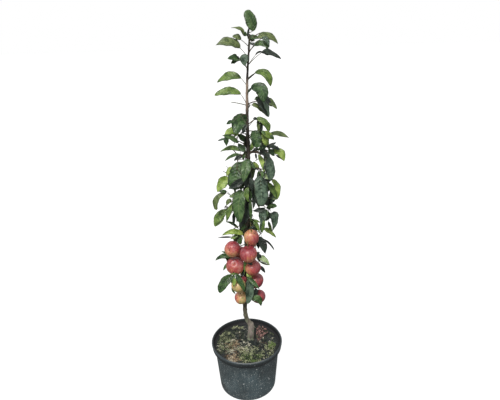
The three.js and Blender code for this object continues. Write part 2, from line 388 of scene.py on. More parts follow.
def combined(whole: bpy.types.Object, other: bpy.types.Object, operation: str) -> bpy.types.Mesh:
    """Join one object with another, or cut it with the other, and remove both.

    Args:
        whole: The object that is kept in shape.
        other: What is joined to it or cut out of it.
        operation: UNION or DIFFERENCE.

    Returns:
        The new mesh.
    """
    change = whole.modifiers.new("change", "BOOLEAN")
    change.operation = operation
    change.object = other
    depsgraph = bpy.context.evaluated_depsgraph_get()
    mesh = bpy.data.meshes.new_from_object(whole.evaluated_get(depsgraph))
    bpy.data.objects.remove(other)
    bpy.data.objects.remove(whole)
    return mesh


class Board:
    """A tree of shader nodes, with short calls for the ones that patterns are made of."""

    def __init__(self, tree: bpy.types.NodeTree) -> None:
        """Take the tree that the nodes go on."""
        self.tree = tree

    def node(self, kind: str, **properties: object) -> bpy.types.Node:
        """Add a node of a kind and set its properties.

        Args:
            kind: The type, without its prefix.
            properties: Values for its own properties.

        Returns:
            The node.
        """
        made = self.tree.nodes.new("ShaderNode" + kind)
        for name, value in properties.items():
            setattr(made, name, value)
        return made

    def feed(self, socket: Socket, value: object) -> None:
        """Link a socket to another's output, or set its own value.

        Args:
            socket: The input.
            value: An output or a constant.
        """
        if isinstance(value, Socket):
            self.tree.links.new(value, socket)
        else:
            socket.default_value = value

    def stretched(self, vector: Socket, scale: Spot) -> Socket:
        """A vector times a scale for each axis.

        Args:
            vector: What is stretched.
            scale: The factor along each axis.

        Returns:
            The new vector.
        """
        made = self.node("Mapping")
        self.feed(made.inputs["Vector"], vector)
        self.feed(made.inputs["Scale"], scale)
        return made.outputs["Vector"]

    def place(self, scale: Spot = (1, 1, 1)) -> Socket:
        """The place on the object in metres, stretched by a scale."""
        return self.stretched(self.node("TexCoord").outputs["Object"], scale)

    def axes(self, vector: Socket) -> bpy.types.NodeOutputs:
        """The X, Y and Z of a vector.

        Args:
            vector: What is taken apart.

        Returns:
            The outputs, by name.
        """
        made = self.node("SeparateXYZ")
        self.feed(made.inputs["Vector"], vector)
        return made.outputs

    def height(self) -> Socket:
        """The height on the object in metres."""
        return self.axes(self.node("TexCoord").outputs["Object"])["Z"]

    def grain(self, vector: Socket, scale: float, detail: float = 3.0, warp: float = 0.0) -> Socket:
        """Noise from 0 to 1.

        Args:
            vector: Where it is read.
            scale: How many grains there are to a unit.
            detail: How fine it goes.
            warp: How far it is stirred.

        Returns:
            The noise.
        """
        made = self.node("TexNoise")
        self.feed(made.inputs["Vector"], vector)
        made.inputs["Scale"].default_value = scale
        made.inputs["Detail"].default_value = detail
        made.inputs["Distortion"].default_value = warp
        return made.outputs["Fac"]

    def cells(self, vector: Socket, scale: float) -> tuple:
        """The distance from the middle of scattered cells, and a colour for each.

        Args:
            vector: Where they are read.
            scale: How many cells there are to a unit.

        Returns:
            The distance and the colour.
        """
        made = self.node("TexVoronoi")
        self.feed(made.inputs["Vector"], vector)
        made.inputs["Scale"].default_value = scale
        return made.outputs["Distance"], made.outputs["Color"]

    def ramp(self, value: object, stops: Sequence[tuple[float, Rgb]]) -> Socket:
        """A colour read off a band of stops.

        Args:
            value: Where it is read, from 0 to 1.
            stops: Places on the band and their colours.

        Returns:
            The colour.
        """
        made = self.node("ValToRGB")
        band = made.color_ramp.elements
        while len(band) < len(stops):
            band.new(0.5)
        for element, (position, rgb) in zip(band, stops):
            element.position = position
            element.color = linear(rgb)
        self.feed(made.inputs["Fac"], value)
        return made.outputs["Color"]

    def blend(self, share: object, first: object, second: object) -> Socket:
        """Mix two colours, by the share of the second.

        Args:
            share: How much of the second there is.
            first: The colour below.
            second: The colour above.

        Returns:
            The mixed colour.
        """
        made = self.node("Mix", data_type="RGBA")
        self.feed(made.inputs[0], share)
        self.feed(made.inputs[6], first)
        self.feed(made.inputs[7], second)
        return made.outputs[2]

    def maths(self, operation: str, first: object, second: object = 0.0) -> Socket:
        """Arithmetic on two values.

        Args:
            operation: Blender's name for it.
            first: The first value.
            second: The second value.

        Returns:
            The result.
        """
        made = self.node("Math", operation=operation)
        self.feed(made.inputs[0], first)
        self.feed(made.inputs[1], second)
        return made.outputs[0]

    def spread(
        self, value: object, low: float, high: float, least: float = 0.0, most: float = 1.0
    ) -> Socket:
        """Map a range of values onto another and hold it there.

        Args:
            value: What is read.
            low: Where its range starts.
            high: Where its range ends.
            least: What the start becomes.
            most: What the end becomes.

        Returns:
            The new value.
        """
        made = self.node("MapRange")
        self.feed(made.inputs["Value"], value)
        for socket, number in zip(made.inputs[1:5], (low, high, least, most)):
            socket.default_value = number
        return made.outputs["Result"]

    def lay(
        self,
        body: object,
        rgb: Rgb,
        value: object,
        low: float,
        high: float,
        least: float = 0.0,
        most: float = 1.0,
    ) -> Socket:
        """Lay a colour over a body, by a value.

        Args:
            body: The colour below.
            rgb: The colour that is laid on.
            value: What decides how strongly.
            low: The value at which the share is least.
            high: The value at which the share is most.
            least: The share of the colour at the low value.
            most: The share of the colour at the high value.

        Returns:
            The new body colour.
        """
        return self.blend(self.spread(value, low, high, least, most), body, linear(rgb))

    def relief(self, height: object, depth: float) -> Socket:
        """A bumpy normal, for a height from 0 to 1 and a depth in metres.

        Args:
            height: The height at each place.
            depth: How far 1 stands out.

        Returns:
            The normal.
        """
        made = self.node("Bump")
        made.inputs["Distance"].default_value = depth
        self.feed(made.inputs["Height"], height)
        return made.outputs["Normal"]


class Recipe(Board):
    """A material being made: a Principled shader and the pattern nodes before it."""

    def __init__(self, name: str, **sockets: object) -> None:
        """Start a material.

        Args:
            name: The material's name.
            sockets: Constant values for the shader's sockets, with _ for a space.
        """
        self.material = bpy.data.materials.new(name)
        self.material.use_nodes = True
        super().__init__(self.material.node_tree)
        self.finish(**sockets)

    def finish(self, **sockets: object) -> Material:
        """Feed the shader's sockets.

        Args:
            sockets: A node's output or a constant for each, with _ for a space.

        Returns:
            The material.
        """
        shader = self.tree.nodes["Principled BSDF"]
        for name, value in sockets.items():
            self.feed(shader.inputs[name.replace("_", " ")], value)
        return self.material


@dataclass(frozen=True)
class LeafFinish:
    """The upper side of a leaf: its shade, its lit parts, its veins and its gloss."""

    name: str
    shade: Rgb
    light: Rgb
    vein: Rgb
    roughness: float = 0.33
    # Dark brown-green for the leaf's edge: partly its own brown margin, partly painted shade along the
    # edge.
    edge_brown_and_shade: Rgb = (44, 44, 30)
    side_veins: int = 8
    vein_slant: float = 1.5
    cloud: float = 62.0
    grain: float = 420.0

    def material(self) -> Material:
        """Make the material, which draws its veins on the leaf's own map.

        Returns:
            The material.
        """
        recipe = Recipe(self.name, Specular_IOR_Level=0.5)
        axes = recipe.axes(recipe.node("UVMap", uv_map=LEAF_MAP).outputs["UV"])
        across = recipe.maths("ABSOLUTE", recipe.maths("SUBTRACT", axes["Y"], 0.5))
        midrib = recipe.spread(across, 0.012, 0.04, 1, 0)
        step = recipe.maths("MULTIPLY", axes["X"], self.side_veins)
        lag = recipe.maths("MULTIPLY", across, 2 * self.vein_slant)
        wave = recipe.maths("PINGPONG", recipe.maths("SUBTRACT", step, lag), 0.5)
        veins = recipe.spread(wave, 0.02, 0.12, 1, 0)
        place = recipe.place()
        cloud = recipe.grain(place, self.cloud)
        fine = recipe.grain(place, self.grain)
        body = recipe.blend(recipe.spread(cloud, 0.42, 0.58), linear(self.shade), linear(self.light))
        # Darkens the outer part of the blade: partly the brown margin, partly painted shade.
        body = recipe.lay(body, self.edge_brown_and_shade, across, 0.39, 0.48, 0, 0.85)
        body = recipe.lay(body, self.shade, fine, 0.35, 0.75, 0, 0.3)
        body = recipe.blend(recipe.maths("MULTIPLY", veins, 0.32), body, linear(self.vein))
        body = recipe.blend(recipe.maths("MULTIPLY", midrib, 0.75), body, linear(self.vein))
        dips = recipe.maths("MAXIMUM", midrib, recipe.maths("MULTIPLY", veins, 0.6))
        normal = recipe.relief(recipe.maths("SUBTRACT", fine, dips), 0.0009)
        gloss = recipe.spread(cloud, 0.3, 0.7, self.roughness - 0.06, self.roughness + 0.1)
        return recipe.finish(Base_Color=body, Roughness=gloss, Normal=normal)


class Tint(Enum):
    """The colours that leaves are dealt."""

    # The darkest tint is a darkened copy of the leaf colours: painted shade for leaves in the crown's
    # shadow and the dark gaps between leaves.
    DEEP = LeafFinish("leaf_deep", (22, 32, 28), (46, 60, 50), (64, 78, 62))
    DARK = LeafFinish("leaf_dark", (30, 58, 26), (64, 96, 48), (92, 120, 74))
    MID = LeafFinish("leaf_mid", (48, 76, 38), (86, 116, 66), (116, 140, 88))
    FRESH = LeafFinish("leaf_fresh", (66, 94, 36), (112, 138, 66), (142, 164, 94))
    # BRIGHT is partly the yellow-green of young leaves and partly painted sunlight shining on and through
    # leaves.
    BRIGHT = LeafFinish("leaf_bright", (106, 134, 48), (156, 178, 90), (178, 196, 122))
    OLIVE = LeafFinish("leaf_olive", (66, 84, 42), (108, 124, 74), (130, 142, 92))
    # BLUISH is partly grey-green leaves and partly a painted sheen of sky light on glossy leaves.
    BLUISH = LeafFinish("leaf_bluish", (44, 64, 50), (90, 112, 92), (110, 132, 108), 0.34)
    PALE = LeafFinish("leaf_pale", (126, 152, 96), (176, 196, 146), (196, 210, 168), 0.45)


DEEP, DARK, MID, FRESH, BRIGHT, OLIVE, BLUISH, PALE = Tint


@dataclass(frozen=True)
class SkinFinish:
    """A plain natural skin with cloudy colour and fine grain, for undersides, stalks and moss."""

    name: str
    dark: Rgb
    light: Rgb
    roughness: float = 0.65
    cloud: float = 90.0
    grain: float = 900.0
    depth: float = 0.0004

    def material(self) -> Material:
        """Make the material.

        Returns:
            The material.
        """
        recipe = Recipe(self.name, Roughness=self.roughness)
        place = recipe.place()
        cloud = recipe.grain(place, self.cloud)
        fine = recipe.grain(place, self.grain)
        body = recipe.blend(recipe.spread(cloud, 0.35, 0.65), linear(self.dark), linear(self.light))
        body = recipe.lay(body, self.dark, fine, 0.4, 0.7, 0, 0.35)
        return recipe.finish(Base_Color=body, Normal=recipe.relief(fine, self.depth))


@dataclass(frozen=True)
class BarkFinish:
    """Bark whose colour follows its age, from the foot at 0 to the youngest shoot at 1."""

    name: str
    ages: tuple[tuple[float, Rgb], ...]
    foot: float
    tip: float
    lichen: Rgb = (122, 128, 108)
    lichen_top: float = 330.0
    lichen_fade: float = 60.0
    speck: Rgb = (150, 132, 112)
    crease: tuple[float, float, float, float] = (0.01, 0.008, 0.006, 1)
    roughness: float = 0.7

    def material(self) -> Material:
        """Make the material: long grain, pale pores and lichen near the ground.

        Returns:
            The material.
        """
        recipe = Recipe(self.name, Roughness=self.roughness)
        height = recipe.height()
        age = recipe.spread(height, self.foot * MM, self.tip * MM)
        body = recipe.ramp(age, self.ages)
        long_grain = recipe.grain(recipe.place((1, 1, 0.16)), 420, detail=5)
        crease = recipe.spread(long_grain, 0.3, 0.62, 0.6, 0)
        body = recipe.blend(crease, body, self.crease)
        distance, _ = recipe.cells(recipe.place((1, 1, 1.7)), 190)
        pores = recipe.spread(distance, 0.1, 0.22, 0.55, 0)
        body = recipe.blend(pores, body, linear(self.speck))
        patches = recipe.grain(recipe.place(), 75, detail=6)
        low = recipe.spread(height, self.lichen_top * MM, (self.lichen_top - self.lichen_fade) * MM)
        lichen = recipe.maths("MULTIPLY", recipe.spread(patches, 0.5, 0.6, 0, 0.8), low)
        body = recipe.blend(lichen, body, linear(self.lichen))
        rough = recipe.maths("ADD", long_grain, recipe.maths("MULTIPLY", pores, 0.5))
        return recipe.finish(Base_Color=body, Normal=recipe.relief(rough, 0.0012))


@dataclass(frozen=True)
class FruitFinish:
    """Fruit skin: a band of colours from green through gold to red, streaks, pores and wax."""

    name: str = "fruit_skin"
    # The darkest reds at the end of the band are reached mostly by fruits whose ripeness carries painted
    # shade.
    band: tuple[tuple[float, Rgb], ...] = (
        (0.05, (148, 154, 88)),
        (0.26, (200, 170, 114)),
        (0.45, (196, 132, 94)),
        (0.66, (172, 82, 76)),
        (0.85, (152, 56, 62)),
        (1.0, (122, 38, 50)),
    )
    pore: Rgb = (226, 190, 150)
    wax: tuple[float, float, float, float] = (0.8, 0.72, 0.72, 1)
    stretch: Spot = (9, 9, 1.1)

    def material(self) -> Material:
        """Make the material, which reads each fruit's own place and blush.

        Returns:
            The material.
        """
        recipe = Recipe(self.name, Specular_IOR_Level=0.5, Coat_Weight=0.22, Coat_Roughness=0.28)
        place = recipe.node("Attribute", attribute_name=FRUIT_PLACE).outputs["Vector"]
        blush = recipe.node("Attribute", attribute_name=FRUIT_BLUSH).outputs["Fac"]
        streaks = recipe.grain(recipe.stretched(place, self.stretch), 1.6, detail=5, warp=0.4)
        clouds = recipe.grain(place, 2.2, detail=2)
        stir = recipe.maths("ADD", recipe.spread(streaks, 0.3, 0.7, -0.2, 0.2), blush)
        stir = recipe.maths("ADD", stir, recipe.spread(clouds, 0.3, 0.7, -0.12, 0.12))
        body = recipe.ramp(stir, self.band)
        distance, _ = recipe.cells(place, 9)
        body = recipe.lay(body, self.pore, distance, 0.05, 0.1, 0.3, 0)
        wax = recipe.grain(place, 5, detail=4)
        body = recipe.blend(recipe.spread(wax, 0.45, 0.7, 0, 0.1), body, self.wax)
        gloss = recipe.spread(wax, 0.3, 0.7, 0.36, 0.5)
        return recipe.finish(Base_Color=body, Roughness=gloss)


@dataclass(frozen=True)
class Splash:
    """Dried splashes of one size: how many to a metre, how big, how rare and how strong."""

    scale: float
    size: float
    rarity: float
    strength: float


@dataclass(frozen=True)
class PotFinish:
    """Matt recycled plastic, slate dark, dusty and splashed, with painted shade on the inner wall above
    the soil and a painted highlight along the front of the lip's top.
    """

    name: str = "pot_plastic"
    dark: Rgb = (42, 49, 52)
    light: Rgb = (72, 88, 94)
    dust: Rgb = (150, 160, 160)
    splash: Rgb = (222, 226, 226)
    # Near black for the inner wall above the soil: painted shade inside the pot.
    inside: Rgb = (24, 24, 27)
    inner_shade_from: float = 176.0
    inner_radius: float = 138.0
    lip_height: float = 197.0
    # A painted highlight on the lip's top at the front: its height, how far front it starts, and its
    # strength.
    highlight_height: float = 202.4
    highlight_front: float = 110.0
    highlight_share: float = 0.16
    splashes: tuple[Splash, ...] = (
        Splash(60, 0.15, 0.55, 1),
        Splash(125, 0.2, 0.5, 0.8),
        Splash(230, 0.26, 0.45, 0.55),
    )

    def material(self) -> Material:
        """Make the material.

        Returns:
            The material.
        """
        recipe = Recipe(self.name, Specular_IOR_Level=0.4)
        place = recipe.place()
        cloud = recipe.grain(place, 13, detail=5)
        runs = recipe.grain(recipe.place((1, 1, 0.12)), 95)
        fine = recipe.grain(place, 520, detail=4)
        body = recipe.blend(recipe.spread(cloud, 0.3, 0.7), linear(self.dark), linear(self.light))
        body = recipe.lay(body, self.dust, runs, 0.5, 0.75, 0, 0.1)
        body = recipe.lay(body, self.dust, fine, 0.52, 0.72, 0, 0.5)
        for splash in self.splashes:
            distance, colour = recipe.cells(place, splash.scale)
            chosen = recipe.spread(colour, splash.rarity, splash.rarity + 0.02)
            spot = recipe.spread(distance, splash.size * 0.5, splash.size, splash.strength, 0)
            body = recipe.blend(recipe.maths("MULTIPLY", spot, chosen), body, linear(self.splash))
        axes = recipe.axes(place)
        squares = [recipe.maths("POWER", axes[name], 2.0) for name in "XY"]
        far = recipe.maths("SQRT", recipe.maths("ADD", *squares))
        # Painted shade: inside the inner wall and above a height just under the soil, darkened to near
        # black.
        within = recipe.spread(far, self.inner_radius * MM, (self.inner_radius - 1) * MM)
        high = recipe.spread(recipe.height(), self.inner_shade_from * MM, (self.inner_shade_from + 4) * MM)
        body = recipe.blend(recipe.maths("MULTIPLY", within, high), body, linear(self.inside))
        lip = recipe.spread(recipe.height(), (self.lip_height - 2) * MM, self.lip_height * MM)
        body = recipe.blend(recipe.maths("MULTIPLY", lip, 0.6), body, linear(self.dark))
        # Painted highlight: the pale splash colour laid thinly along the top of the lip at the front.
        top = (self.highlight_height * MM, (self.highlight_height + 0.5) * MM)
        front = (-self.highlight_front * MM, (-self.highlight_front - 20) * MM)
        lip_highlight = recipe.spread(recipe.height(), *top, 0, self.highlight_share)
        lip_highlight = recipe.maths("MULTIPLY", lip_highlight, recipe.spread(axes["Y"], *front))
        body = recipe.blend(lip_highlight, body, linear(self.splash))
        gloss = recipe.spread(cloud, 0.3, 0.7, 0.5, 0.62)
        gloss = recipe.maths("SUBTRACT", gloss, recipe.maths("MULTIPLY", lip, 0.2))
        return recipe.finish(Base_Color=body, Roughness=gloss, Normal=recipe.relief(fine, 0.0006))


@dataclass(frozen=True)
class SoilFinish:
    """Damp peaty soil, near black, with crumbs and paler dry patches."""

    name: str = "soil_peat"
    wet: Rgb = (16, 19, 20)
    dry: Rgb = (58, 64, 62)
    moss: Rgb = (52, 60, 44)

    def material(self) -> Material:
        """Make the material.

        Returns:
            The material.
        """
        recipe = Recipe(self.name, Roughness=0.85)
        place = recipe.place()
        patches = recipe.grain(place, 24, detail=4)
        crumbs = recipe.grain(place, 240, detail=6)
        body = recipe.blend(recipe.spread(crumbs, 0.4, 0.68), linear(self.wet), linear(self.dry))
        body = recipe.lay(body, self.moss, patches, 0.5, 0.62, 0, 0.7)
        return recipe.finish(Base_Color=body, Normal=recipe.relief(crumbs, 0.003))


@dataclass
class Studio:
    """The camera, the light and the floor."""

    eye: Spot = (27.3, -1415.1, 1329.2)
    look_down: float = 20.57
    camera_roll: float = -1.51
    lens: float = 30.96
    sun_azimuth: float = 252.0
    sun_height: float = 50.0
    sun_strength: float = 2.7
    sun_spread: float = 16.0
    sky: tuple[float, float, float] = (0.8, 0.8, 0.8)
    ground: tuple[float, float, float] = (0.2, 0.2, 0.19)
    horizon: Pair = (-0.25, 0.35)
    floor_reach: float = 60.0
    floor_glow: float = 0.9
    floor_tone: float = 0.16

    def build(self) -> None:
        """Set up everything that isn't the object."""
        self._camera()
        self._sun()
        self._sky()
        self._floor()
        bpy.context.scene.view_settings.view_transform = "Standard"

    def stance(self) -> Matrix:
        """Return where the camera stands and how it is turned.

        Returns:
            Its place and turn.
        """
        tilt = Matrix.Rotation(math.radians(90 - self.look_down), 4, "X")
        turn = Matrix.Rotation(math.radians(self.camera_roll), 4, "Z")
        return Matrix.Translation(metres(self.eye)) @ tilt @ turn

    def _camera(self) -> None:
        """Stand the camera in front of the tree, a little above its tip and looking down."""
        data = bpy.data.cameras.new("camera")
        data.lens = self.lens
        data.sensor_width = SENSOR
        data.clip_end = 2 * self.floor_reach
        camera = bpy.data.objects.new("camera", data)
        camera.matrix_world = self.stance()
        bpy.context.scene.collection.objects.link(camera)
        bpy.context.scene.camera = camera

    def _sun(self) -> None:
        """Light the tree from high on the front left."""
        data = bpy.data.lights.new("sun", "SUN")
        data.energy = self.sun_strength
        data.angle = math.radians(self.sun_spread)
        data.color = (1.0, 0.97, 0.93)
        sun = bpy.data.objects.new("sun", data)
        azimuth = math.radians(self.sun_azimuth)
        height = math.radians(self.sun_height)
        level = math.cos(height)
        towards = Vector((level * math.cos(azimuth), level * math.sin(azimuth), math.sin(height)))
        sun.rotation_euler = towards.to_track_quat("Z", "Y").to_euler()
        bpy.context.scene.collection.objects.link(sun)

    def _sky(self) -> None:
        """Light from all round, brighter above, with plain white behind the object."""
        world = bpy.data.worlds.new("sky")
        bpy.context.scene.world = world
        world.use_nodes = True
        world.node_tree.nodes.clear()
        board = Board(world.node_tree)
        rise = board.axes(board.node("TexCoord").outputs["Generated"])["Z"]
        dome = board.blend(board.spread(rise, *self.horizon), (*self.ground, 1), (*self.sky, 1))
        backgrounds = []
        for colour in (dome, (1, 1, 1, 1)):
            made = board.node("Background")
            board.feed(made.inputs["Color"], colour)
            backgrounds.append(made.outputs[0])
        chooser = board.node("MixShader")
        seen = board.node("LightPath").outputs["Is Camera Ray"]
        for socket, value in zip(chooser.inputs, (seen, *backgrounds)):
            board.feed(socket, value)
        board.feed(board.node("OutputWorld").inputs["Surface"], chooser.outputs[0])

    def _floor(self) -> None:
        """Lay a wide white floor that takes only the faintest shadow."""
        bm = bmesh.new()
        bmesh.ops.create_grid(bm, x_segments=1, y_segments=1, size=self.floor_reach)
        tone = self.floor_tone
        recipe = Recipe("floor_white", Roughness=0.9, Base_Color=(tone, tone, tone, 1))
        glow = {"Emission_Color": (1, 1, 1, 1), "Emission_Strength": self.floor_glow}
        floor = finished("floor", mesh_of("floor", bm), [recipe.finish(**glow)])
        floor.visible_diffuse = False
        floor.visible_glossy = False


@dataclass(frozen=True)
class View:
    """The camera's picture, on which a place is told across and down in a frame of 500 by 400."""

    studio: Studio
    middle: Pair = (250, 200)
    width: float = 500

    @property
    def focus(self) -> float:
        """How far the picture lies from the eye, in its own units."""
        return self.studio.lens / SENSOR * self.width

    def ray(self, spot: Pair) -> Array:
        """Return the direction in which a place on the picture lies, one deep along the lens.

        Args:
            spot: The place on the picture.

        Returns:
            The direction.
        """
        across = (spot[0] - self.middle[0]) / self.focus
        down = (spot[1] - self.middle[1]) / self.focus
        return np.array(self.studio.stance().to_3x3() @ Vector((across, -down, -1)))

    def place(self, spot: Pair, depth: float) -> Array:
        """Return the point that is seen at a place on the picture and lies at y = depth.

        Args:
            spot: The place on the picture.
            depth: How far back the point lies, in metres.

        Returns:
            The point, in metres.
        """
        eye = metres(self.studio.eye)
        ray = self.ray(spot)
        return eye + ray * (depth - eye[1]) / ray[1]

    def spot(self, point: Array) -> Array:
        """Return where on the picture a point is seen.

        Args:
            point: The point, in metres.

        Returns:
            The place on the picture.
        """
        local = self.studio.stance().inverted() @ Vector(point)
        scale = self.focus / -local.z
        return np.array([self.middle[0] + local.x * scale, self.middle[1] - local.y * scale])

    def unit_at(self, point: Array) -> float:
        """Return the length in metres that one unit of the picture covers at a point."""
        local = self.studio.stance().inverted() @ Vector(point)
        return -local.z / self.focus


def bend_tube(pattern: Pattern, path: Array, radii: Array) -> Array:
    """Bend a tube pattern along a path.

    Args:
        pattern: A tube with as many stations as the path has points.
        path: The middle line.
        radii: The radius at each point of it.

    Returns:
        The tube's vertices.
    """
    way = unit(np.gradient(path, axis=0))
    side = np.zeros_like(way)
    reference = np.array([1.0, 0, 0]) if abs(way[0][0]) < 0.8 else np.array([0, 1.0, 0])
    for i, direction in enumerate(way):
        reference = unit(reference - direction * (reference @ direction))
        side[i] = reference
    other = np.cross(way, side)
    station = np.rint(pattern.points[:, 2]).astype(int)
    x = pattern.points[:, :1]
    y = pattern.points[:, 1:2]
    return path[station] + radii[station][:, None] * (x * side[station] + y * other[station])


def add_tube(batch: Batch, path: Array, radii: Array, sides: int) -> None:
    """Add a tube along a path to a batch."""
    pattern = tube_pattern(sides, len(path))
    batch.add(pattern, bend_tube(pattern, path, radii))


def mesh_parts(node: str) -> tuple[Array, list[tuple[int, ...]]]:
    """Return the corners of a frame node in metres, and its faces."""
    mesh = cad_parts[node].data
    return np.array([v.co for v in mesh.vertices], float), [tuple(f.vertices) for f in mesh.polygons]


class Surface:
    """Some meshes gathered so that places can be measured from them and rays cast at them."""

    def __init__(self, parts: Iterable[tuple[Iterable[Array], Iterable[tuple[int, ...]]]]) -> None:
        """Gather the meshes, each given as its points and its faces.

        Args:
            parts: The meshes, each as its points and its faces.
        """
        points: list[Vector] = []
        faces: list[tuple[int, ...]] = []
        for corners, sides in parts:
            start = len(points)
            points.extend(Vector(point) for point in corners)
            faces.extend(tuple(start + i for i in side) for side in sides)
        self.tree = BVHTree.FromPolygons(points, faces)

    @classmethod
    def of_nodes(cls, nodes: Iterable[str]) -> "Surface":
        """Gather some frame nodes."""
        return cls(mesh_parts(node) for node in nodes)

    def nearest(self, place: Array) -> Array:
        """Return the nearest point on the surface."""
        return np.array(self.tree.find_nearest(Vector(place))[0])

    def gap(self, place: Array) -> float:
        """Return how far a place lies from the surface."""
        return self.tree.find_nearest(Vector(place))[3]

    def outside(self, place: Array) -> float:
        """Return how far a place lies outside the meshes in metres, or 0 inside them."""
        near, normal, _, gap = self.tree.find_nearest(Vector(place))
        return gap if (Vector(place) - near).dot(normal) > 0 else 0.0

    def meets(self, place: Array, way: Array) -> bool:
        """Tell whether a ray from a place meets the surface."""
        return self.tree.ray_cast(Vector(place), Vector(way))[0] is not None


@dataclass
class Wood:
    """The frame's trunk and boughs, read as middle lines and radii."""

    graft: float = 275 * MM
    tip_clear: float = 1.5 * MM
    cuts: int = 96

    def __post_init__(self) -> None:
        """Read the stem's line by slicing the trunk, and find the boughs."""
        self.boughs = sorted(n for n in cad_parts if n.startswith("bough_"))
        self.surface = Surface.of_nodes(["trunk", *self.boughs])
        lowest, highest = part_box("trunk")
        self.soil_top = lowest.z
        self.heights = np.linspace(self.graft, highest.z - self.tip_clear, self.cuts)
        cuts = [self.slice(height) for height in self.heights]
        self.line = np.array([middle for middle, _ in cuts])
        self.radii = np.array([radius for _, radius in cuts])

    def slice(self, height: float) -> tuple[Array, float]:
        """Cut the trunk at a height and return the cut's middle and mean radius.

        Args:
            height: Where to cut, in metres.

        Returns:
            The cut's middle and its mean radius.
        """
        bm = bmesh.new()
        bm.from_mesh(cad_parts["trunk"].data)
        geometry = bm.verts[:] + bm.edges[:] + bm.faces[:]
        cut = bmesh.ops.bisect_plane(bm, geom=geometry, plane_co=(0, 0, height), plane_no=(0, 0, 1))
        ring = [part.co for part in cut["geom_cut"] if isinstance(part, bmesh.types.BMVert)]
        points = np.array(ring, float)
        bm.free()
        middle = (points.min(0) + points.max(0)) / 2
        return middle, float(np.linalg.norm(points - middle, axis=1).mean())

    def axis(self, height: float) -> Array:
        """Return the middle of the stem at a height in metres."""
        return np.array([np.interp(height, self.heights, self.line[:, i]) for i in range(3)])

    def radius(self, height: float) -> float:
        """Return the stem's radius at a height in metres."""
        return float(np.interp(height, self.heights, self.radii))


@dataclass
class Limb:
    """A spine read off a frame node, with the node's greatest half breadth about it."""

    arc: Arc
    half: float

    @classmethod
    def read(cls, node: str, carrier: Surface) -> "Limb":
        """Fit an arc through a node, from where it meets its carrier to its furthest point.

        Args:
            node: The frame node.
            carrier: The surface of what carries it.

        Returns:
            The spine and half breadth.
        """
        points, _ = mesh_parts(node)
        start = carrier.nearest(points[int(np.argmin([carrier.gap(p) for p in points]))])
        end = points[int(np.argmax(np.linalg.norm(points - start, axis=1)))]
        chord = end - start
        places = np.clip((points - start) @ chord / (chord @ chord), 0, 1)
        arc = Arc(start, (start + end) / 2, end)
        steps = np.linspace(0, 1, 41)
        for _ in range(4):
            weight = 2 * places * (1 - places)
            rest = points - np.outer((1 - places) ** 2, start) - np.outer(places**2, end)
            control = (weight[:, None] * rest).sum(0) / (weight**2).sum()
            arc = Arc(start, control, end)
            line = arc.at(steps)
            apart = np.linalg.norm(points[:, None] - line[None], axis=2)
            places = steps[apart.argmin(1)]
        return cls(arc, float(apart.min(1).max()))


class Canopy:
    """The space that the frame's foliage and fruit take up."""

    def __init__(self) -> None:
        """Gather the masses of the frame."""
        self.masses = sorted(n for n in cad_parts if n.startswith(("foliage_", "fruit_")))
        self.surface = Surface.of_nodes(self.masses)


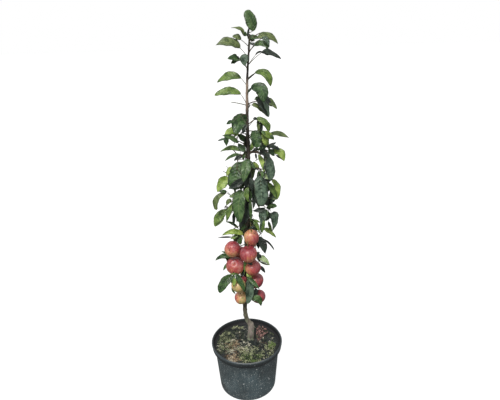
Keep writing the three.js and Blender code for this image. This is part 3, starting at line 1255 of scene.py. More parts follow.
@dataclass
class Leaf:
    """One leaf: the arc of its blade, its breadth, how it is turned and how it is bent."""

    tint: Tint
    arc: Arc
    foot: Array
    width: float
    show: float = 50.0
    away: Optional[Array] = None
    fold: float = 19.0
    wave: float = 0.1
    twist: float = 0.0
    seed: float = 0.0
    thickness: float = 0.35 * MM
    stalk_radius: float = 0.95 * MM
    detail: tuple[int, int] = (14, 6)
    base_shape: float = 0.6
    tip_shape: float = 0.85
    skew: float = 0.0
    cup: float = 0.1
    lean: float = 0.0
    quilt: float = 0.05

    def frame_at(self, places: Array) -> tuple[Array, Array, Array]:
        """Return the blade's directions along, across and up at places from 0 to 1.

        Args:
            places: Places along the midrib, from 0 to 1.

        Returns:
            The unit directions along, across and up at each.
        """
        along = self.arc.way(places)
        out = VIEWER if self.away is None else self.away
        angle = math.radians(self.show)
        wanted = UP * math.cos(angle) + unit(out) * math.sin(angle)
        across = unit(np.cross(wanted, along))
        up = np.cross(along, across)
        turn = np.radians(self.twist) * (np.asarray(places)[:, None] - 0.3)
        turned = across * np.cos(turn) + up * np.sin(turn)
        return along, turned, np.cross(along, turned)

    def outline(self, places: Array) -> Array:
        """Return the half breadth from base to tip, round at the base and drawn out at the tip.

        Args:
            places: Places along the midrib, from 0 to 1.

        Returns:
            The half breadth at each, in metres.
        """
        base, tip = self.base_shape, self.tip_shape
        body = np.clip(places, 0, 1) ** base * np.clip(1 - places, 0, 1) ** tip
        peak = (base / (base + tip)) ** base * (tip / (base + tip)) ** tip
        ragged = 1 + 0.035 * np.sin(17 * places + self.seed) + 0.02 * np.sin(41 * places + 2 * self.seed)
        return np.maximum(0.5 * self.width * body / peak * ragged, 0.6 * MM)

    def blade(self, pattern: Pattern) -> Array:
        """Bend the flat leaf pattern into this leaf's blade.

        Args:
            pattern: The flat leaf.

        Returns:
            Its vertices where they now lie.
        """
        u = pattern.points[:, 0] + 0.5
        v = 2 * pattern.points[:, 1]
        leaned = np.clip(u + self.skew * 4 * v * u * (1 - u), 0, 1)
        _, across, up = self.frame_at(leaned)
        half = self.outline(u) * (1 + self.lean * np.sign(v))
        fold = math.radians(self.fold)
        ripple = np.sin((8 + self.seed) * u + self.seed + 1.3 * np.sign(v)) * self.wave
        quilt = self.quilt * np.cos(math.tau * (8 * u - 1.5 * np.abs(v))) * (1 - v**2) * (1 - u)
        rise = half * (np.abs(v) * math.sin(fold) + (ripple - self.cup) * v**2 + quilt)
        place = self.arc.at(leaned) + across * (half * v * math.cos(fold))[:, None]
        return place + up * (rise + self.thickness * pattern.points[:, 2])[:, None]

    def grow(self, blades: Batch, stalks: Batch) -> None:
        """Add the blade to one batch, and its stalk and midrib to another.

        Args:
            blades: Where the blade goes.
            stalks: Where the stalk and midrib go.
        """
        pattern = leaf_pattern(*self.detail)
        place = np.stack([pattern.points[:, 0] + 0.5, pattern.points[:, 1] + 0.5], axis=1)
        blades.add(pattern, self.blade(pattern), **{LEAF_MAP: place})
        _, _, up = self.frame_at(np.linspace(0, 0.8, 7))
        rib = self.arc.at(np.linspace(0, 0.8, 7)) - up * (self.thickness + 0.3 * self.stalk_radius)
        gap = rib[0] - self.foot
        bend = Arc(self.foot, self.foot + gap * 0.55 + UP * 0.08 * np.linalg.norm(gap), rib[0])
        path = np.concatenate([bend.at(np.linspace(0, 1, 6))[:-1], rib])
        radii = self.stalk_radius * np.interp(np.arange(len(path)), [0, 4, 11], [1.25, 1.0, 0.35])
        add_tube(stalks, path, radii, 6)


@dataclass(frozen=True)
class Seen:
    """A leaf of the front, by where the camera sees the base, middle and tip of its midrib.

    The leaves of one mass are listed from the back to the front, and the depth of each is its
    mass's own. Its breadth is told on the picture too, and its foot is where its stalk leaves
    the wood, if that can be seen.
    """

    tint: Tint
    base: Pair
    middle: Pair
    tip: Pair
    breadth: float
    show: float = 62.0
    foot: Optional[Pair] = None
    base_shape: float = 0.6
    tip_shape: float = 0.85
    nearer: float = 0.0
    lean: float = 0.0
    rumpled: bool = False


# Rows in the darkest tint are dark leaves put where the crown lies in shadow: painted shade.
SEEN: dict[str, tuple[Seen, ...]] = {
    "leader_tip": (
        Seen(MID, (253.4, 31), (251.1, 21.4), (245.3, 10.7), 12.1, 88, (248.9, 33), 0.5, 0.45),
        Seen(DEEP, (247.5, 36.5), (248.3, 32), (249.1, 26.5), 2.2, 80, (247.5, 37)),
    ),
    "young_leaf": (
        Seen(DARK, (247, 35.2), (244.5, 33.8), (242, 33.5), 4.4),
        Seen(OLIVE, (242.8, 34.8), (240.4, 28.8), (231, 27.8), 4, 50, (246.5, 36)),
    ),
    "top_left_1": (
        Seen(OLIVE, (241, 39.8), (237.3, 36.8), (232.5, 36.6), 5.8, 60, (248.2, 46.3), 0.7, 0.7),
        Seen(OLIVE, (240.2, 48.3), (230, 42.6), (215.8, 45.2), 9.6, 60, (247.9, 57), 0.85, 1.0, lean=-0.2),
    ),
    "top_right_1": (
        Seen(DARK, (250, 39), (252, 40.6), (255, 40.3), 1.8),
        Seen(DARK, (247.4, 37.8), (254, 37.2), (261.5, 37.8), 4.8, 60, (248, 39)),
        Seen(OLIVE, (257.3, 37.6), (268.2, 35.6), (277.9, 43.8), 7.2, 62, (248.6, 44)),
    ),
    "top_right_2": (
        Seen(DEEP, (250, 43.5), (253.5, 44), (257, 44), 3),
        Seen(MID, (253.3, 45.6), (261.3, 43.6), (269.2, 47.2), 6.4, 60, (249, 52.8), 0.6, 0.5, lean=0.2),
        Seen(BLUISH, (262, 37.5), (266.4, 40.0), (268.8, 46.0), 5.6),
    ),
    "top_right_3": (
        Seen(DEEP, (255.6, 54.9), (258.3, 52.2), (262.5, 52), 1.9, 60, (249.3, 64.5), 0.4, 0.3),
        Seen(DEEP, (261.3, 52.8), (270.2, 52.4), (281.2, 58.9), 6, 60, (249.3, 64.5), 0.7, 0.8),
    ),
    "top_left_2": (
        Seen(DEEP, (240.5, 59.5), (238, 58), (236.2, 55.3), 3.2),
        Seen(DARK, (238.5, 59.8), (235, 60.8), (230.8, 63.6), 4.6),
        Seen(DARK, (237.8, 59), (233, 58.2), (227.5, 58.7), 6.8, base_shape=0.5),
        Seen(DARK, (247.8, 56.5), (243, 57.8), (238.3, 60.8), 5.6),
        Seen(BLUISH, (247.6, 55.3), (244.6, 59.3), (245.2, 66.2), 8.6, 70, (247.5, 70)),
    ),
    "top_left_3": (
        Seen(FRESH, (241.2, 78.4), (229.6, 76.4), (217, 82.6), 8.2, 60, (247.3, 87), 0.8, 0.85, lean=-0.1),
    ),
    "top_left_4": (
        Seen(
            FRESH, (240.8, 94.2), (227.6, 91.2), (214.6, 95.4), 8.0, 66, (246.8, 103), 0.6, 0.66, lean=-0.1
        ),
    ),
    "top_right_4": (
        Seen(DEEP, (247.9, 79.6), (251.4, 76), (256.5, 72.3), 1.9, 62, (247.8, 80)),
        Seen(FRESH, (254.6, 73.0), (265.8, 74.2), (270.5, 86.4), 8.2, 62, (247.8, 80), 0.7, 0.7),
    ),
    "top_right_5": (
        Seen(BLUISH, (247.9, 94), (249.3, 90.5), (252.8, 87.2), 2.2, 62, (247.9, 94.5), 0.3, 0.3),
        Seen(DARK, (250.9, 88.2), (261.4, 89.2), (263.2, 101.8), 13.2, 70, (248, 92), 0.6, 0.6, lean=-0.1),
    ),
    "top_right_6": (
        Seen(DEEP, (246.8, 102.8), (248.3, 103.6), (249.7, 105.2), 1.8, 62, (246.8, 103)),
        Seen(DEEP, (246, 108.5), (248.2, 107.6), (250, 105.2), 2.2, 62, (246.5, 108.5)),
        Seen(OLIVE, (263, 100.5), (270.8, 102.6), (277, 109), 6.4, 50),
        Seen(DEEP, (263, 98.7), (267.5, 101), (271.8, 106.5), 7),
        Seen(OLIVE, (251.8, 105), (259.6, 108), (267.3, 116.8), 5, 62, (247.5, 105.3), lean=0.2),
        Seen(DEEP, (256.8, 97.3), (262.3, 105), (268.2, 117), 7.6),
        Seen(BLUISH, (262.5, 100), (266.8, 107.5), (268.9, 117.3), 4.6),
        Seen(MID, (258.5, 96.5), (256.5, 98), (254.4, 100.2), 2.6),
    ),
    "upper_left_1": (
        Seen(DEEP, (247, 125), (244, 129.5), (243, 134), 4.2),
        Seen(DARK, (233, 121.8), (229.6, 122.2), (226.4, 124.3), 3.8),
        Seen(DARK, (246.4, 119.4), (239.2, 122.8), (236.6, 134), 14.8, 75, (247.8, 121), 0.4, 0.5),
    ),
    "upper_left_2": (
        Seen(BRIGHT, (238.5, 131.5), (231.5, 131), (224.5, 134.5), 8.2),
        Seen(BRIGHT, (238.5, 132.8), (236.3, 134.2), (233.5, 137), 4),
        Seen(DARK, (227.5, 135), (226.5, 140), (226.6, 146.3), 5.2),
        Seen(BLUISH, (226, 138.5), (221.8, 139.6), (217.7, 141), 2.4),
        Seen(MID, (238.2, 142.8), (231.2, 137.9), (222.3, 135.4), 5),
    ),
    "upper_left_3": (
        Seen(DARK, (248.5, 143), (248, 151), (247.3, 160), 4.4, 80),
        Seen(DEEP, (248, 134), (246.4, 141), (246.5, 149), 4.6, 80),
        Seen(DARK, (246, 141.5), (242.3, 137.6), (238, 134.2), 6.4),
        Seen(DARK, (244.5, 153), (243.5, 156.5), (243.2, 160.5), 3.2),
        Seen(OLIVE, (245.6, 159), (244.6, 150), (243.8, 141), 2.4, 80),
        Seen(FRESH, (240.3, 151), (231.3, 147.9), (220.3, 151.7), 5.2, nearer=6),
        Seen(DARK, (244.8, 151.5), (241.6, 147.6), (238.1, 143.4), 6.6),
        Seen(MID, (239.8, 154.5), (231.8, 155.9), (225, 161), 3.4),
        Seen(DEEP, (242, 156.8), (238.4, 157.5), (234, 160.9), 4.4),
    ),
    "upper_right_1": (
        Seen(DEEP, (260.3, 120.5), (261.3, 127), (261, 133.5), 3.4, 75),
        Seen(OLIVE, (258, 120), (258.3, 126), (258.8, 131.8), 3.2, 75),
        Seen(FRESH, (262, 120.5), (267.8, 124.5), (268.8, 132), 4.6),
        Seen(FRESH, (255.5, 118.7), (264.9, 122.4), (268.7, 133), 6.4, 62, (248.9, 126.3)),
        Seen(DEEP, (256.8, 118.6), (254.8, 118.6), (253, 118.8), 3.4),
    ),
    "upper_right_3": (Seen(OLIVE, (269.8, 134.6), (279.4, 133.7), (289, 137.8), 5.2, 50),),
    "upper_right_2": (
        Seen(BRIGHT, (263.5, 133), (263.8, 139), (266.5, 146), 6.2, 72),
        Seen(BRIGHT, (263, 138), (265.7, 141.3), (269, 144.6), 6),
        Seen(BRIGHT, (262, 133.5), (268, 135.2), (273.7, 139.5), 6.8),
        Seen(DARK, (269.5, 134.7), (272.3, 137), (273.9, 139.9), 2.6),
        Seen(MID, (261.5, 131), (263.5, 132.5), (265.5, 134.5), 3.2),
        Seen(DARK, (255.3, 130.2), (256, 138.5), (257.6, 147.6), 12, 80, None, 0.5, 0.5, rumpled=True),
    ),
    "upper_right_4": (
        Seen(DEEP, (266.5, 146.6), (272, 144.4), (276.2, 142.3), 2.8),
        Seen(DEEP, (276, 155.5), (280.5, 157.2), (284, 161), 3),
        Seen(BRIGHT, (273, 151.5), (280.3, 153.2), (284.1, 161.1), 7.8, 50),
        Seen(DARK, (268.5, 149.5), (271.5, 152.4), (274.3, 156.2), 5.6),
        Seen(DEEP, (267.5, 146.3), (273.5, 146.8), (280.5, 150), 4.4),
        Seen(DEEP, (259.5, 151.5), (264, 150.5), (268.8, 151), 3),
        Seen(DARK, (258.5, 150), (262.8, 147.4), (267.2, 145), 4.4),
    ),
    "upper_right_5": (
        Seen(DEEP, (258.5, 148.8), (255.6, 149.3), (252.8, 151), 3.4),
        Seen(DEEP, (255.6, 153.5), (256, 156.3), (256.4, 159.3), 2.2, 80),
        Seen(FRESH, (250, 150.5), (251.9, 146.8), (251.5, 141.5), 3.6, nearer=22),
        Seen(DEEP, (250.5, 152.5), (255, 151.3), (259, 153), 3),
        Seen(PALE, (264, 172.5), (265.3, 176), (268.5, 179.2), 4, 75),
        Seen(DEEP, (264.5, 163), (264.2, 170), (264, 178), 2.4, 80),
        Seen(BLUISH, (264.3, 153.5), (270, 166.3), (269.2, 180), 10.4, 75, None, 0.6, 0.4),
        Seen(DEEP, (259, 153), (265.2, 153.6), (269.8, 158), 6),
        Seen(MID, (261.3, 170.5), (262.3, 174.5), (262.2, 178.5), 3.2, 75),
        Seen(BRIGHT, (258.3, 154.5), (262.6, 163.3), (263.8, 172), 5, 74),
    ),
    "middle_right_1": (
        Seen(BRIGHT, (257.5, 169.5), (256, 165.5), (253.3, 162.2), 5),
        Seen(DARK, (259, 171), (258.3, 174.5), (257, 178.5), 3),
        Seen(DEEP, (262, 173.5), (259.5, 176), (256.5, 179), 3.4),
        Seen(DEEP, (265, 208), (259.5, 210.4), (252.6, 210.8), 4.6),
        Seen(DEEP, (256, 199), (261, 203.7), (266.5, 202), 5.4),
        Seen(BLUISH, (259.5, 176), (261.3, 190.5), (261, 206), 14.6, 82, None, 0.42, 0.5, rumpled=True),
    ),
    "middle_left_1": (
        Seen(BRIGHT, (232, 167), (229, 170.5), (226.5, 176.5), 4.4),
        Seen(DEEP, (247.5, 169), (247.6, 179), (248.5, 189.5), 8.6, 80, None, 0.5, 0.5),
        Seen(DEEP, (250.3, 177), (252, 184.5), (252, 194), 5, 80),
        Seen(DEEP, (252.5, 169.3), (256, 168.6), (259.2, 171.8), 1.5),
        Seen(DARK, (249.5, 160.5), (252.3, 165), (256, 169.8), 3.6),
        Seen(DARK, (241, 161.8), (236.2, 175.5), (235.2, 190), 16.8, 84, None, 0.5, 0.36, rumpled=True),
        Seen(DEEP, (243.5, 178.5), (236.8, 184.2), (228.6, 188.6), 8.2, 80),
        Seen(MID, (246.3, 159.2), (245.8, 169), (243.2, 182), 10.8, 78, None, 0.5, 0.75),
    ),
    "middle_left_2": (Seen(BRIGHT, (229.3, 178.2), (221.8, 183.9), (217.6, 192.2), 10.4, 66),),
    "middle_left_3": (
        Seen(OLIVE, (226.3, 192.7), (217, 199), (216.8, 210), 5.6, 64, None, 0.5, 0.36),
        Seen(DARK, (226.8, 191.5), (222.5, 191.3), (218.7, 191.3), 3.4),
    ),
    "middle_front_2": (
        Seen(OLIVE, (231.5, 200.5), (228.3, 201.5), (226.5, 205.8), 4.4),
        Seen(FRESH, (240.5, 192), (234.5, 194.8), (229.2, 197), 4.8),
        Seen(DARK, (237.5, 212), (237.3, 217), (236.8, 222.5), 2.6, 80),
        Seen(MID, (241.8, 190), (238.7, 205), (240, 223), 13.2, 84, None, 0.5, 0.65),
    ),
    "middle_front_1": (
        Seen(DEEP, (253.4, 186), (253.9, 198), (253, 209), 4.6, 80),
        Seen(MID, (250.6, 186), (250.8, 195), (250.5, 206), 2.8, 80),
        Seen(DEEP, (247, 200), (246.6, 211), (246, 223), 7, 80),
        Seen(DEEP, (245, 205), (244.2, 214), (242.5, 226), 5, 80),
        Seen(BLUISH, (247.2, 211), (246.3, 217), (245, 224), 3.6, 80),
        Seen(MID, (250.2, 200), (250.6, 210), (250.6, 221.5), 3.6, 75, nearer=6),
        Seen(FRESH, (248.2, 187.3), (246.5, 194.3), (248.6, 202), 5.6, 75),
    ),
    "lower_left_1": (
        Seen(DEEP, (233.6, 213.5), (233.9, 219), (233.4, 225.5), 3.4),
        Seen(MID, (238.5, 228.5), (232.5, 223.6), (225.7, 221.8), 2.8),
        Seen(FRESH, (234, 205.5), (229.7, 211), (226.5, 222), 6),
        Seen(FRESH, (227, 209.6), (218.8, 217.2), (215.2, 226.8), 8.6, 66),
        Seen(PALE, (223.8, 217), (220.2, 221), (215.8, 226.3), 4.6, 60, nearer=4),
    ),
    "middle_right_2": (
        Seen(DEEP, (270.5, 189.5), (271.3, 198), (270, 207), 5),
        Seen(DEEP, (268, 196.5), (268.6, 203), (270, 210), 6, 80),
        Seen(DARK, (266.5, 180), (267.8, 185.5), (269, 191.5), 4.6, 80),
        Seen(BLUISH, (274.5, 195.5), (272.6, 199.5), (270, 203), 5),
        Seen(DEEP, (264.5, 180.5), (268.5, 180.2), (272.8, 178.8), 4),
        Seen(MID, (267, 208.8), (269.8, 206.5), (273, 204), 4.2, nearer=8),
        Seen(DARK, (269.5, 207.3), (273.5, 205.8), (277, 206.3), 5.2),
        Seen(PALE, (272.5, 198), (275, 198.7), (277.8, 199), 2.6),
        Seen(BRIGHT, (271.8, 179.5), (277.4, 187.5), (277.2, 199.5), 6.4, 38),
        Seen(FRESH, (267.8, 183), (272.6, 189.8), (277.2, 198.6), 6, 70),
    ),
    "lower_right_1": (
        Seen(BLUISH, (268.5, 212.5), (268, 217), (266, 221), 4.4),
        Seen(BLUISH, (266.3, 213.3), (269.5, 215.5), (272.5, 219.5), 5.4, 76),
        Seen(FRESH, (268.3, 221.5), (270, 226.5), (272.3, 231.3), 3),
        Seen(BRIGHT, (263.5, 228.8), (269.8, 231.6), (276.2, 237.6), 4.4, 46),
        Seen(BLUISH, (271.5, 213), (274.6, 219.6), (272.2, 231.6), 9.4, 76, None, 0.4, 1.1),
    ),
    "lower_right_2": (
        Seen(FRESH, (251, 220.5), (256, 220.7), (260.5, 222.7), 2.6),
        Seen(DARK, (260.5, 223), (261.3, 228), (260.8, 233.5), 3),
        Seen(FRESH, (253, 220.8), (256.6, 224.7), (259.7, 233.3), 4.2, 74),
        Seen(DARK, (265.5, 209.5), (267, 213), (266.3, 218), 3),
        Seen(DEEP, (261.5, 208.8), (258, 209.2), (254.2, 210.9), 2.8),
        Seen(BLUISH, (260.8, 207.8), (262.7, 214.5), (261.8, 225), 8.4, 76, None, 0.5, 0.6),
        Seen(DEEP, (255, 229), (252.5, 227.4), (249.3, 228.3), 2.8),
        Seen(FRESH, (263.8, 220), (263.3, 226.5), (262.2, 233), 3.4),
    ),
    "lower_left_2": (
        Seen(DEEP, (232, 237), (225, 237.2), (217.5, 237.9), 1.8),
        Seen(DEEP, (250, 218.5), (247, 225), (246.3, 231), 7, 80),
        Seen(DEEP, (243.5, 213.5), (242, 221), (240, 229.5), 5.6, 80),
        Seen(DARK, (249, 222.3), (244.3, 226.3), (240.3, 231.8), 5.4),
        Seen(DARK, (239.8, 234), (239.5, 239), (240.6, 244.8), 7, 75),
        Seen(FRESH, (238.5, 234.5), (235, 236.6), (230.5, 238.8), 4),
        Seen(BRIGHT, (243.6, 234.6), (233.3, 231.6), (222, 235.4), 5.6),
    ),
    "fruit_right_1": (
        Seen(DEEP, (261.5, 238.8), (268.5, 242.6), (274.2, 250), 2, tip_shape=0.5),
        Seen(DEEP, (258.6, 237.5), (258, 243), (258.8, 248.8), 4.6, 80),
        Seen(DEEP, (258.2, 237), (262.6, 244.5), (265.3, 253.6), 8, 72),
    ),
    "fruit_left_1": (
        Seen(MID, (228.5, 263), (225.6, 266.4), (223.2, 270.5), 3),
        Seen(MID, (227, 254), (224.5, 252.3), (221.5, 251.5), 2),
        Seen(DARK, (231, 257.3), (223, 256.2), (215.5, 260.5), 5.2),
    ),
    "fruit_right_2": (
        Seen(DEEP, (256.5, 273.6), (259.6, 275), (262, 278), 2.4),
        Seen(DEEP, (259.5, 267), (262.6, 269), (265.2, 272.8), 3.6),
        Seen(DEEP, (257.5, 253.8), (259, 257.5), (258.8, 262), 4.8),
        Seen(OLIVE, (259.5, 261.3), (264.2, 263.6), (269.7, 265), 2),
        Seen(PALE, (259.3, 257), (264.2, 259.6), (269.8, 265), 6.4, 40, None, 0.45, 1.0),
    ),
    "fruit_left_2": (
        Seen(MID, (232, 287), (233.2, 291), (235.5, 294), 2.2),
        Seen(DARK, (231.8, 275.3), (225, 282), (219.6, 293), 9.8, 74, None, 0.6, 0.6),
        Seen(FRESH, (238, 274.3), (234, 273.8), (229.5, 274.6), 2.4, nearer=46),
        Seen(DARK, (234.5, 275), (232.6, 278.5), (231.5, 283.5), 4, nearer=50),
        Seen(BRIGHT, (234.3, 278), (234.4, 282), (233.4, 286.8), 4.2, nearer=56),
        Seen(DARK, (236, 273.8), (240.6, 281.8), (245.2, 291.8), 6, 76, nearer=58),
    ),
    "fruit_front_1": (
        Seen(FRESH, (245.6, 258.5), (244.9, 266), (244.6, 274.5), 3, 80, nearer=36),
        Seen(DEEP, (244, 269), (243.5, 273), (241, 277), 3.2, 78, nearer=30),
        Seen(DEEP, (257, 289), (255.5, 292.5), (253.3, 298.5), 5.2),
        Seen(BRIGHT, (247, 272.3), (249, 275.8), (251.8, 279.3), 4.2, 74, nearer=26),
        Seen(DEEP, (247.3, 262), (250, 263.2), (252.7, 265), 3.4, nearer=40),
        Seen(BLUISH, (248.2, 278.8), (249.9, 290.5), (247.3, 303.8), 8.8, 84, None, 0.5, 0.6, nearer=14),
        Seen(DARK, (247, 277.3), (253.2, 282), (259.5, 289.2), 5, 74, nearer=18),
        Seen(MID, (251.8, 300.3), (258, 298.7), (261, 305.9), 7.4, 66, None, 0.55, 0.7, nearer=10),
    ),
}

GAPS = (
    ((252.8, 157.5), 3.6),
    ((254.5, 160.5), 2.2),
    ((259.8, 161.5), 1.6),
    ((259.2, 166), 1.4),
    ((255, 174), 4.4),
    ((255.3, 178), 2.0),
    ((268.2, 195.2), 1.8),
    ((256, 206.6), 1.8),
    ((265.4, 205.6), 1.4),
    ((256.2, 216), 3.8),
    ((266.2, 225), 2.2),
    ((231.2, 217.5), 1.6),
    ((237, 224.5), 2.0),
    ((242.6, 139), 0.8),
    ((241.5, 132), 2.2),
    ((253.5, 126.5), 3.4),
    ((234.5, 142.7), 2.6),
    ((230.5, 153), 2.2),
    ((236, 152.8), 1.0),
    ((230, 190), 3.0),
    ((238.5, 191), 2.0),
    ((268.5, 148.3), 0.9),
    ((262, 240.5), 1.2),
    ((242.5, 243.5), 1.2),
)

BARE_STALKS = (
    ((246.6, 105.3), (239, 103.4), (231.2, 102.1)),
    ((245.3, 133.3), (248.6, 138), (250.6, 146.5)),
    ((244.3, 141), (245.2, 150), (245.4, 158.5)),
    ((255.5, 160.8), (257.6, 159.2), (259.5, 158.6)),
    ((249.2, 193), (249.4, 203), (250.8, 214)),
)

BACK_TINTS = {
    "foliage_back_1": DARK,
    "foliage_back_2": MID,
    "foliage_back_3": DARK,
    "foliage_back_4": FRESH,
    "foliage_back_5": DARK,
}


@dataclass
class Foliage:
    """All leaves, their stalks and the twigs that carry them."""

    wood: Wood
    crown: Canopy
    view: View
    seed: int = 11
    reach: float = 6 * MM
    far_reach: float = 45 * MM
    spurs_to: float = 1150 * MM
    spur_step: float = 12 * MM
    layer: float = 4 * MM
    inner_from: float = 640 * MM
    inner_to: float = 1110 * MM
    inner_step: float = 2.5 * MM
    most_widened: float = 1.5
    shows_front: tuple[float, ...] = (78.0, 100.0)
    sideways: float = 0.6
    sunning: float = 0.6
    rumple: float = 0.13
    trunk_clear: float = 8 * MM
    leaves_in_front: int = 4
    leaves_at_back: int = 9
    leaves_on_spur: int = 6
    tries: int = 9
    inner_tries: int = 8
    twig_tints: tuple[Tint, ...] = (DARK, DARK, MID, DEEP, FRESH, BLUISH)
    inner_tints: tuple[Tint, ...] = (DEEP, DEEP, DARK, DARK, BLUISH)
    twig_lengths: Pair = (52, 82)
    inner_lengths: Pair = (40, 70)
    stalk_lengths: Pair = (12, 26)
    spur_lengths: Pair = (26, 62)
    slimness: Pair = (0.46, 0.58)
    droops: Pair = (20, 75)
    shows: Pair = (35, 75)
    shows_sideways: Pair = (60, 95)
    broad_from: float = 6.5
    broad_detail: tuple[int, int] = (44, 12)
    slim_detail: tuple[int, int] = (20, 6)
    back_detail: tuple[int, int] = (18, 8)
    stalk_drop: float = 12.0
    bare_radii: Pair = (1.5, 1.2)
    bare_steps: Spot = (2 * MM, -3 * MM, -7 * MM)
    twig_radii: Pair = (1.9, 0.9)
    twig_sunk: float = 1.5
    twig_knots: float = 1.18
    blades: dict[Tint, Batch] = field(default_factory=dict)
    nodes: dict[Tint, list[str]] = field(default_factory=dict)

    def __post_init__(self) -> None:
        """Start the batches and the dice."""
        self.dice = random.Random(self.seed)
        turn = math.radians(self.view.studio.sun_azimuth)
        self.sunny_side = self.sunning * np.array([math.cos(turn), math.sin(turn), 0.0])
        self.stalks = Batch("leaf_stalks")
        self.twigs = Batch("twigs")
        self.limbs = {n: Limb.read(n, self.wood.surface) for n in self.crown.masses}
        for tint in Tint:
            self.blades[tint] = Batch(tint.value.name.replace("leaf", "leaves"))
            self.nodes[tint] = []

    def build(self) -> None:
        """Grow every mass, then the leaves inside the crown, and make the pieces."""
        masses = [m for m in self.crown.masses if m.startswith("foliage_")]
        fronts = [m for m in masses if m not in BACK_TINTS]
        for mass in fronts:
            self._grow_front(mass)
        for spots in BARE_STALKS:
            self._grow_bare_stalk(spots)
        self._set_screen()
        for mass in BACK_TINTS:
            self._grow_back(mass)
        for mass in fronts:
            self._grow_along(self.limbs[mass], self.leaves_in_front)
        self._grow_spurs()
        self._grow_inner()
        under = SkinFinish("leaf_underside", (108, 130, 92), (150, 168, 122), 0.6).material()
        for tint, batch in self.blades.items():
            piece = batch.piece([tint.value.material(), under])
            settle(piece, self.nodes[tint])
        stalk = SkinFinish("leaf_stalk", (56, 58, 42), (100, 100, 76), 0.6).material()
        settle(self.stalks.piece([stalk]))
        twig = SkinFinish("twig_bark", (52, 42, 34), (104, 84, 64), 0.75, 160, 700, 0.0008)
        settle(self.twigs.piece([twig.material()]))

    def _add(self, leaf: Leaf) -> None:
        """Grow one leaf into its tint's batch."""
        leaf.grow(self.blades[leaf.tint], self.stalks)

    def _varied(self, leaf: Leaf) -> Leaf:
        """Bend a leaf a little by chance, so that no two are alike.

        Args:
            leaf: The leaf.

        Returns:
            The same leaf.
        """
        leaf.seed = self.dice.uniform(0, 6.28)
        leaf.fold += self.dice.uniform(-8, 8)
        leaf.wave = self.dice.uniform(0.08, 0.26)
        leaf.twist = self.dice.uniform(-22, 22)
        leaf.skew = self.dice.uniform(-0.06, 0.06)
        leaf.cup = self.dice.uniform(0.0, 0.3)
        return leaf

    def _outward(self, place: Array) -> Array:
        """Return the level direction from the stem's axis to a place.

        Args:
            place: The place.

        Returns:
            The unit direction.
        """
        out = place - self.wood.axis(place[2])
        out[2] = 0
        return unit(out)

    def _facing(self, tint: Tint, place: Array) -> Array:
        """Return the side a seen leaf turns its upper face to.

        Args:
            tint: Its colour, since the pale ones are turned to the light.
            place: Where it grows.

        Returns:
            The direction: mostly the front, and a little outward.
        """
        if tint in (FRESH, BRIGHT, PALE):
            return unit(self._outward(place) * 0.1 + VIEWER + self.sunny_side)
        return unit(self._outward(place) * 0.35 + VIEWER)

    def _grow_front(self, mass: str) -> None:
        """Grow a mass of the front: its twig, if it is a spray, and its seen leaves.

        Args:
            mass: The frame node of the mass.
        """
        limb = self.limbs[mass]
        rows = SEEN[mass.removeprefix("foliage_")]
        self.nodes[rows[-1].tint].append(mass)
        spray = len(rows) > 2
        if spray:
            self._grow_twig(limb, 0.4)
        for order, seen in enumerate(rows):
            nearer = (order - (len(rows) - 1) / 2) * self.layer + seen.nearer * MM
            self._grow_seen(seen, limb, nearer, spray)

    def _grow_bare_stalk(self, spots: Sequence[Pair]) -> None:
        """Add a stalk without a blade, by three places on the picture, just before the stem.

        Args:
            spots: Where its foot, middle and end are seen.
        """
        height = self.view.place(spots[0], 0.02)[2]
        skin = self.wood.axis(height)[1] - self.wood.radius(height)
        lane = [self.view.place(spot, skin + step) for spot, step in zip(spots, self.bare_steps)]
        start, middle, end = lane
        path = Arc(start, 2 * middle - (start + end) / 2, end).at(np.linspace(0, 1, 10))
        add_tube(self.stalks, path, np.linspace(*self.bare_radii, 10) * MM, 6)

    def _set_screen(self) -> None:
        """Gather the seen leaves and the fruit, which no hidden leaf may cover."""
        fruits = [mesh_parts(m) for m in self.crown.masses if m.startswith("fruit_")]
        leaves = [((p for part in b.points for p in part), b.faces) for b in self.blades.values()]
        self.screen = Surface([*leaves, *fruits])

    def _covers(self, point: Array) -> bool:
        """Tell whether something at a point would cover a seen leaf, a fruit or a gap.

        Args:
            point: The point.

        Returns:
            True where it would.
        """
        spot = self.view.spot(point)
        if any(math.dist(spot, middle) < radius for middle, radius in GAPS):
            return True
        return self.screen.meets(point, unit(point - metres(self.view.studio.eye)))

    def _grow_seen(self, seen: Seen, limb: Limb, nearer: float, spray: bool) -> None:
        """Grow one leaf so that the camera sees it where it was told.

        Args:
            seen: Where it is seen.
            limb: The spine of its mass, which gives its depth.
            nearer: How far it is moved to the front, in metres.
            spray: Whether the mass has a twig that can carry it.
        """
        spine = limb.arc.at(np.linspace(0, 1, 15))
        spots = np.array([self.view.spot(point) for point in spine])
        ends = []
        for spot in (seen.base, seen.tip):
            near = int(np.linalg.norm(spots - spot, axis=1).argmin())
            ends.append(self.view.place(spot, spine[near][1] - nearer))
        base, tip = ends
        drop = base[2] - tip[2]
        if drop > abs(tip[0] - base[0]):
            tip = self.view.place(seen.tip, min(tip[1], base[1] - 0.2 * drop))
        middle = self.view.place(seen.middle, (base[1] + tip[1]) / 2 - 2 * MM)
        arc = Arc(base, 2 * middle - (base + tip) / 2, tip)
        leaf = Leaf(seen.tint, arc, self._foot(seen, base, spine, spray), 0.0, seen.show)
        leaf.away = self._facing(seen.tint, base)
        leaf.detail = self.broad_detail if seen.breadth > self.broad_from else self.slim_detail
        leaf.base_shape = seen.base_shape
        leaf.tip_shape = seen.tip_shape
        self._varied(leaf)
        leaf.lean = seen.lean
        if seen.rumpled:
            leaf.quilt = self.rumple
        self._widen(leaf, seen.breadth, self.view.unit_at(middle))
        self._add(leaf)

